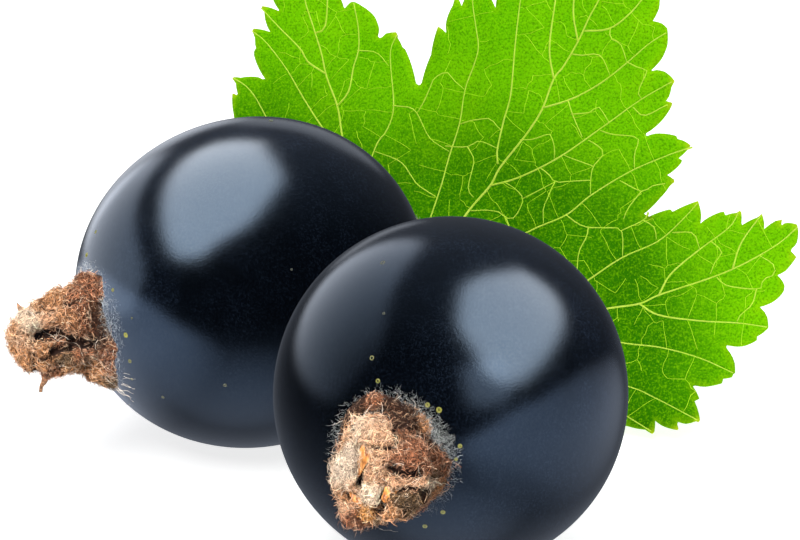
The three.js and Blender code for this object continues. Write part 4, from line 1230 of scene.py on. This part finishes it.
def stalk_tube(path, radii, steps, sides=28):
    """A tapered stalk with shallow ridges along it."""
    rows = tube_rows(smooth_path(path, steps), radii, sides)
    middle = rows.mean(1, keepdims=True)
    ridges = 1 + RIDGE_DEPTH * np.cos(RIDGES * circle(sides))[None, :, None]
    uneven = 1 + STALK_UNEVEN * grain(middle[:, 0], 1.3, 2.2)[:, None, None]
    return closed_rings(middle + (rows - middle) * ridges * uneven)


def downy(name, points, faces, finish, count, longest, rng):
    """Fine short down on a stalk."""
    places, normals, _ = seeds_on(points, faces, count, np.ones(len(points)), rng)
    ways = unit(normals + rng.normal(0, 0.35, normals.shape))
    lengths = rng.uniform(DOWN_SHORTEST, longest, count)
    shape, hair_faces = hairs(places, ways, lengths, DOWN_THICK, DOWN_CURL, rng)
    shape[:, 2] = np.maximum(shape[:, 2], 0.02)
    return piece(name, shape, hair_faces, finish, {"tone": per_hair(rng.random(count))})


def strig(finish, down, rng):
    """The fruit stalk: its stem, a pedicel to each berry, the swollen fork and two stubs."""
    stem = [(-0.6, SPUR_MOUTH + 0.1, 1.25), (-0.9, 22.5, 0.9), (-1.2, 17.5, 0.75), FORK]
    to_front = [FORK, (0.4, 12.5, 2.2), (2.1, 10.6, 4.8), *map(FRONT_BERRY.stalk_end, (GAP + 1.4, -0.05))]
    to_back = [FORK, (-0.6, 15.1, 2.6), (0, 16.2, 4.4), (-0.2, 16.4, 6.2),
               *map(BACK_BERRY.stalk_end, (GAP + 0.7, -0.05))]
    points, faces = merge([stalk_tube(*tube) for tube in (
        (stem, (0.75, 0.55, 0.5, 0.52), 60),
        (to_front, PEDICEL, 50),
        (to_back, PEDICEL, 50),
        ([(-1.35, 15.0, 0.95), FORK, (-1.2, 14.0, 1.1)], (0.3, 0.57, 0.3), 14),
        ([(-1.0, 20.6, 1.2), (-1.15, 20.45, 1.55), (-1.45, 20.1, 1.75)], (0.26, 0.2, 0.05), 12),
        ([(-0.85, 24.2, 1.3), (-0.7, 24.05, 1.7), (-0.35, 23.75, 1.95)], (0.28, 0.22, 0.05), 12),
    )])
    points[:, 2] = np.maximum(points[:, 2], 0.1)
    return [
        piece("fruit_stalk", points, faces, finish, replaces=["strig"]),
        downy("fruit_stalk_down", points, faces, down, DOWN_HAIRS, 0.2, rng),
    ]


def petiole(finish, down, rng):
    path = [LEAF_BASE, (-2.38, 17.75, 1.95), (-2.7, 18.9, 1.75), (-3.4, 21.5, 1.45), (-3.5, 24.5, 1.3),
            (-3, SPUR_MOUTH + 0.1, 1.35)]
    points, faces = stalk_tube(path, (0.3, 0.42, 0.45, 0.48, 0.55, 0.85), 80)
    return [
        piece("leaf_stalk", points, faces, finish, replaces=["petiole"]),
        downy("leaf_stalk_down", points, faces, down, DOWN_HAIRS // 2, 0.22, rng),
    ]


def bark_tube(path, radii, steps, flat=1.0):
    """A length of twig with lengthwise cracks and lumps."""
    rows = tube_rows(smooth_path(path, steps), radii, BARK_SIDES, flat)
    middle = rows.mean(1, keepdims=True)
    points = rows.reshape(-1, 3)
    cracks = BARK_CRACK * (1 - billow(points * (0.3, 1, 1), 0.55, 3.3))
    swell = 1 - cracks + BARK_LUMP * grain(points, 1.6, 8.8)
    return middle + (rows - middle) * swell.reshape(*rows.shape[:2], 1)


BUD_PROFILE = [(0.3, -0.1), (0.62, 0), (0.92, 0.18), (1, 0.38), (0.84, 0.62), (0.48, 0.84), (0.02, 1)]
SCALE_ROWS, SCALE_COLUMNS = 18, 15
# each scale's turn from the one below, its half width as an angle, and its thickness as a share
SCALE_TURN, SCALE_SPAN, SCALE_THICK = 2.4, 1.25, 0.07


def bud_scales(name, base, way, length, radius, scales, finish):
    """A plump pointed bud wrapped in overlapping scales."""
    way = unit(way)
    side = unit(np.cross(way, (0.2, 0.3, 0.93)))
    other = np.cross(way, side)
    reach, height = smooth_path(BUD_PROFILE, 40).T

    def ring(along, angles, wider=1.0, lift=0.0):
        """Places at some angles round the bud, at a share of its length."""
        out = radius * np.interp(along, height, reach) * wider + lift
        return base + way * along * length + out * spokes(angles, side, other)

    parts = [closed_rings([ring(along, circle(40), 0.95) for along in np.linspace(-0.08, 0.98, 24)])]
    edges = [0]
    columns = np.linspace(-1, 1, SCALE_COLUMNS)
    cells = np.arange(SCALE_ROWS * SCALE_COLUMNS).reshape(SCALE_ROWS, SCALE_COLUMNS)
    a, b, c, d = (part.ravel() for part in (cells[:-1, :-1], cells[:-1, 1:], cells[1:, 1:], cells[1:, :-1]))
    front, back = np.stack([a, b, c, d], axis=1), np.stack([a, d, c, b], axis=1) + cells.size
    faces = [tuple(face) for pair in zip(front.tolist(), back.tolist()) for face in pair]
    rim = [*cells[0], *cells[1:, -1], *cells[-1, -2::-1], *cells[-2:0:-1, 0]]
    faces += [(end, start, cells.size + start, cells.size + end) for start, end in pairs_round(map(int, rim))]
    for number in range(scales):
        low, high = -0.08 + 0.62 * number / scales, 0.42 + 0.58 * number / scales
        wider = 1.04 + 0.05 * (scales - number) / scales
        outer, inner, mark = [], [], []
        for share in np.linspace(0, 1, SCALE_ROWS):
            along = low + (high - low) * share
            angles = SCALE_TURN * number + columns * (SCALE_SPAN * math.sqrt(1 - share**3) + 0.02)
            outer.append(ring(along, angles, wider, 0.015))
            inner.append(ring(along, angles, wider - SCALE_THICK))
            mark.append(np.maximum(np.abs(columns) ** 6, share**8))
        parts.append((np.reshape([outer, inner], (-1, 3)), faces))
        edges.append(np.ravel([mark, mark]))
    points, faces, edge = merge(parts, edges)
    return piece(name, points, faces, finish, {"edge": edge})


# along the twig, and the angle round it, of each breathing pore
PORES = ((-9.5, 0.3), (-8.2, -0.9), (-5, 0.7), (-3.9, -0.4), (-2.9, 1.2), (0.7, 0.2), (1.9, -0.8), (2.8, 0.9),
         (3.4, -0.2), (-7.4, 1.5), (-0.6, -1.3), (-5.6, -1.2))
PORE_RADIUS, PORE_RISE = 0.16, 0.05
TWIG_MIDDLE = (0, 29.7, TWIG_HEIGHT)
CUT_YAW = 0.5
CUT_SIZE, CUT_SINK, PITH_RADIUS = 0.985, 0.015, 0.22


def twig(bark, bud, pith):
    """The piece of woody stem, with its spur, its slanting cut, its pores and two buds."""
    stem = [(-11.6, 30.15, TWIG_HEIGHT + 0.1), (-6, 29.6, TWIG_HEIGHT), (-1, 29.4, TWIG_HEIGHT),
            (4.5, 30, TWIG_HEIGHT - 0.05)]
    rows = bark_tube(stem, (1.45, 1.35, 1.5, 1.35, 1.2), 170)
    lean = np.array([math.cos(CUT_YAW), math.sin(CUT_YAW), 0])
    cut_at = np.array([-12.2, 30.1, TWIG_HEIGHT]) + 2 * lean
    rows = rows - np.minimum(0, (rows - cut_at) @ lean)[..., None] * lean
    spur = [(-1.8, 29.4, 1.35), (-1.8, 28.4, 1.35), (-1.8, SPUR_MOUTH, 1.35)]
    spur = bark_tube(spur, (1.3, 1.1, 1.35, 1.15, 1.25), 60, 1.6)
    points, faces = merge([closed_rings(rows), closed_rings(spur)])
    points[:, 2] = np.maximum(points[:, 2], 0)
    pores = [(x, 29.7 + 1.2 * math.sin(turn), TWIG_HEIGHT + 1.3 * math.cos(turn)) for x, turn in PORES]
    away = np.min([np.linalg.norm((points - pore) * (0.45, 1, 1), axis=1) for pore in pores], axis=0)
    pore = np.exp(-(away / PORE_RADIUS) ** 4)
    points = points + unit(points - TWIG_MIDDLE) * (PORE_RISE * pore)[:, None] * (0, 1, 1)
    return [
        piece("twig_bark", points, faces, bark, {"pore": pore}, ["twig"]),
        cut_end(rows[0], lean, pith),
        bud_scales("end_bud", (4.3, 30, TWIG_HEIGHT), (0.96, 0.12, 0.12), 3.6, 1.25, 9, bud),
        bud_scales("side_bud", (-6.9, 29.7, TWIG_HEIGHT + 1.05), (0.75, 0.1, 0.65), 2.34, 0.75, 6, bud),
    ]


def cut_end(rim, lean, finish):
    """The slanting face where the twig was cut, with its wood and pith."""
    centre, sides = rim.mean(0), len(rim)
    shares = np.linspace(1, 0.04, 16)
    ring = np.repeat(shares, sides)
    points = np.vstack([centre + (rim - centre) * share * CUT_SIZE for share in shares])
    pith = 0.05 * np.exp(-(ring / PITH_RADIUS) ** 2)
    points = points - lean * CUT_SINK + lean * pith[:, None]
    points[:, 2] = np.maximum(points[:, 2], 0.005)
    faces = [face[::-1] for face in ring_faces(len(shares), sides)]
    faces.append(tuple(range(len(points) - 1, len(points) - 1 - sides, -1)))
    return piece("twig_cut_end", points, faces, finish, {"ring": ring})


# ---- stage, lights and camera ----

def make_camera():
    data = bpy.data.cameras.new("camera")
    data.lens, data.sensor_width = LENS, SENSOR
    data.clip_start, data.clip_end = 0.01, 20
    camera = add_object("camera", data)
    camera.location = Vector(CAMERA_PLACE) * MM
    camera.rotation_euler = (CAMERA_TILT, 0, 0)
    bpy.context.scene.camera = camera


def make_floor():
    """A plain pale floor, 6 metres square."""
    mesh = bpy.data.meshes.new("floor")
    mesh.from_pydata([(-3, -3, 0), (3, -3, 0), (3, 3, 0), (-3, 3, 0)], [], [(0, 1, 2, 3)])
    paint = Finish("pale_floor", Roughness=0.9, IOR=1.2, Emission_Strength=0.8, Emission_Color=(1, 1, 1, 1))
    paint.link(paint.ramp(paint.noise(40), (0.3, 0.8), (0.7, 0.82)), "Base Color")
    mesh.materials.append(paint.material)
    floor = add_object("floor", mesh)
    return floor


# COOL tints the studio's glow and the two cards, and HAZE the smaller panels round the berries.
COOL = (0.91, 1.01, 1.22)
HAZE = (0.95, 1.0, 1.1)
# what the studio's walls and table give: toward which way, the least and full nearness to it, brightness
WORLD_GLOWS = [((0, -0.5, -0.87), 0.76, 1.0, 0.72), ((0, 0, -1), 0.1, 1.0, 0.33),
               ((0, 0.6, 0.8), 0.3, 1.0, 0.19)]
DIMMEST = 0.01
BOX_POWER = 4
PANEL_REACH = 300


def make_world():
    """White where the camera sees past the floor, and a dim studio for everything else."""
    world = bpy.data.worlds.new("studio")
    world.use_nodes = True
    tree = world.node_tree
    way = add_node(tree, "TexCoord").outputs["Generated"]
    total = None
    for heading, low, high, most in WORLD_GLOWS:
        along = add_node(tree, "VectorMath", {0: way, 1: heading}, operation="DOT_PRODUCT").outputs["Value"]
        spread = {"Value": along, "From Min": low, "From Max": high, "To Min": DIMMEST, "To Max": most}
        level = add_node(tree, "MapRange", spread).outputs["Result"]
        total = level if total is None else add_node(tree, "Math", {0: total, 1: level}).outputs[0]
    studio = add_node(tree, "Background", {"Color": (*COOL, 1), "Strength": total}).outputs[0]
    backdrop = add_node(tree, "Background", {"Color": (1, 1, 1, 1)}).outputs[0]
    seen = add_node(tree, "LightPath").outputs["Is Camera Ray"]
    choose = add_node(tree, "MixShader", {"Fac": seen, 1: studio, 2: backdrop})
    tree.links.new(choose.outputs["Shader"], tree.nodes["World Output"].inputs["Surface"])
    bpy.context.scene.world = world


def softbox(name, sides, size, radiance, receivers, fade=0.0, hot=(1, 1), taper=0.0, tint=(1, 1, 1)):
    """A light with rounded corners. sides are its centre and the directions of its two sides.

    Its back is where those turn away from. fade is the share of each side over which its edge dims; hot is
    the radiance at the start and end of the first side, as shares; taper is how much the far half of the
    second side narrows.
    """
    centre, across, upward = sides[0], unit(sides[1]), unit(sides[2])
    data = bpy.data.lights.new(name, "AREA")
    data.shape, data.color = "RECTANGLE", tint
    data.size, data.size_y = size[0] * MM, size[1] * MM
    data.energy = radiance * math.pi * data.size * data.size_y
    data.use_nodes = True
    tree = data.node_tree
    if fade:
        def maths(operation, *values):
            return add_node(tree, "Math", dict(enumerate(values)), operation=operation).outputs[0]

        place = add_node(tree, "NewGeometry").outputs["Parametric"]
        place = add_node(tree, "SeparateXYZ", {0: place}).outputs
        x, y = (maths("MULTIPLY_ADD", place[axis], 2, -1) for axis in ("X", "Y"))
        widened = maths("MULTIPLY_ADD", maths("MAXIMUM", y, 0), taper, 1)
        x, y = maths("ABSOLUTE", maths("MULTIPLY", x, widened)), maths("ABSOLUTE", y)
        rounded = maths("ADD", maths("POWER", x, BOX_POWER), maths("POWER", y, BOX_POWER))
        edge = {"Value": rounded, "From Min": 1, "From Max": (1 - 2 * fade) ** BOX_POWER}
        spread = add_node(tree, "MapRange", edge, interpolation_type="SMOOTHSTEP").outputs["Result"]
        slope = add_node(tree, "MapRange", {"Value": place["X"], "To Min": hot[0], "To Max": hot[1]})
        strength = maths("MULTIPLY", spread, slope.outputs["Result"])
        tree.links.new(strength, tree.nodes["Emission"].inputs["Strength"])
    light = add_object(name, data)
    turn = Matrix([across, upward, np.cross(across, upward)]).transposed().to_4x4()
    light.matrix_world = Matrix.Translation(Vector(centre) * MM) @ turn
    light.visible_camera = False
    lit = bpy.data.collections.new(f"{name}_lights")
    for receiver in receivers:
        lit.objects.link(receiver)
    light.light_linking.receiver_collection = lit


def toward(azimuth, elevation=0):
    """The direction at an azimuth (0 behind, 90 right) and elevation, in degrees."""
    turn, rise = math.radians(azimuth), math.radians(elevation)
    return np.array([math.sin(turn) * math.cos(rise), math.cos(turn) * math.cos(rise), math.sin(rise)])


def facing(place, azimuth, elevation, distance=PANEL_REACH):
    """Centre and sides of a panel that faces a place."""
    way = toward(azimuth, elevation)
    across = unit(np.cross((0, 0, 1), way))
    return place + way * distance, across, np.cross(way, across)


def rising_card(place, azimuth, reach, slope):
    """Centre and sides of a pale card that rises gently from the floor, away from a berry."""
    outward, upward = toward(azimuth), toward(azimuth, slope)
    centre = place * (1, 1, 0) + outward * reach + (0, 0, 30 * upward[2] + 0.2)
    return centre, np.cross((0, 0, 1), outward), upward


def light_berries(front, back):
    """Each berry has its own softboxes, laid where the highlights on its skin say they stood."""
    front_main = (165.5, -39.4, 254.9), (0.052, 0.997, 0.046), (-0.816, 0.017, 0.578)
    back_main = (-88.4, -0.1, 301.5), (-0.31, -0.949, 0.048), (0.9, -0.276, 0.335)
    softbox("front_main", front_main, (572, 362), 7.0, front, 0.18, (1.08, 0.84), 1.15)
    softbox("back_main", back_main, (716, 376), 8.3, back, 0.15, (0.82, 0.98), 1.2)
    at_front, at_back = FRONT_BERRY.centre, BACK_BERRY.centre
    # a panel's or card's angles are in degrees, its size in millimetres
    for name, sides, size, radiance, fade, hot, tint in (
        ("front_left", facing(at_front, -64, 28), (630, 390), 2.2, 0.12, (1.0, 0.0), HAZE),
        ("front_glow", facing(at_front, 152, 29), (180, 180), 1.8, 0.45, (1, 1), HAZE),
        ("front_rim", facing(at_front, -11, 0), (90, 60), 0.5, 0.35, (1, 1), HAZE),
        ("front_card", rising_card(at_front, 112, 36, 19), (80, 60), 1.75, 0.22, (1.15, 0.1), COOL),
        ("back_left", facing(at_back, -66, 7), (640, 270), 1.75, 0.14, (1, 1), HAZE),
        ("back_rim", facing(at_back, 10, 10), (170, 140), 0.42, 0.3, (1, 1), HAZE),
        ("back_edge", facing(at_back, -18, -2), (190, 150), 1.0, 0.35, (1, 1), HAZE),
        ("back_card", rising_card(at_back, -103, 29, 11), (46, 51), 1.7, 0.22, (1, 1), COOL),
    ):
        receivers = front if name.startswith("front") else back
        softbox(name, sides, size, radiance, receivers, fade, hot, tint=tint)


def light_rest(flowers, receivers):
    """Plain soft studio light for the floor and everything but the glossy fruit."""
    for name, azimuth, elevation, distance, size, radiance, lit in (
        ("key", -150, 58, 650, (420, 420), 4.6, receivers),
        ("overhead", 60, 78, 700, (620, 620), 1.5, receivers),
        ("fill", 140, 25, 700, (500, 400), 0.7, receivers),
        ("behind", 20, 35, 700, (500, 300), 1.0, receivers),
        ("flower_key", -156, 36, 500, (130, 130), 135, flowers),
    ):
        softbox(name, facing(np.array([0, 12, 5]), azimuth, elevation, distance), size, radiance, lit)


# ---- the sprig ----

def main():
    make_camera()
    make_world()
    floor = make_floor()
    rng = np.random.default_rng(SEED)
    skin, resin = berry_finish(), gland_finish()
    looks = {
        "dried": dried_finish(),
        "felt_hair": felt_hair_finish(),
        "wisp": hair_finish("loose_wisp", (0.5, 0.36, 0.24), (0.86, 0.78, 0.66)),
        "silver": hair_finish("silver_hair", (0.1, 0.105, 0.1), (0.6, 0.62, 0.6)),
        "petal": petal_finish(),
    }
    down = hair_finish("stalk_down", (0.5, 0.52, 0.36), (0.8, 0.8, 0.66))
    skins, others, flowers = [], [floor], []
    for berry, flower, pixels in (
        (FRONT_BERRY, FRONT_FLOWER, FRONT_GLANDS),
        (BACK_BERRY, BACK_FLOWER, BACK_GLANDS),
    ):
        skins.append(berry_skin(berry, skin))
        others.append(glands(berry, pixels, resin, rng))
        flowers += withered_flower(berry, flower, looks, rng)
    loop, tips = toothed_margin()
    blade = [lamina(loop, tips, leaf_finish()), leaf_veins(loop, vein_finish(), rng)]
    stalk = stalk_finish()
    others += strig(stalk, down, rng) + petiole(stalk, down, rng)
    others += twig(bark_finish(), bud_finish(), pith_finish())
    light_berries(skins[:1], skins[1:])
    light_rest(flowers, others + flowers + blade)
    for unseen in others + flowers + blade + skins:
        unseen.visible_glossy = False
    bpy.context.scene.view_settings.view_transform = "Standard"


main()
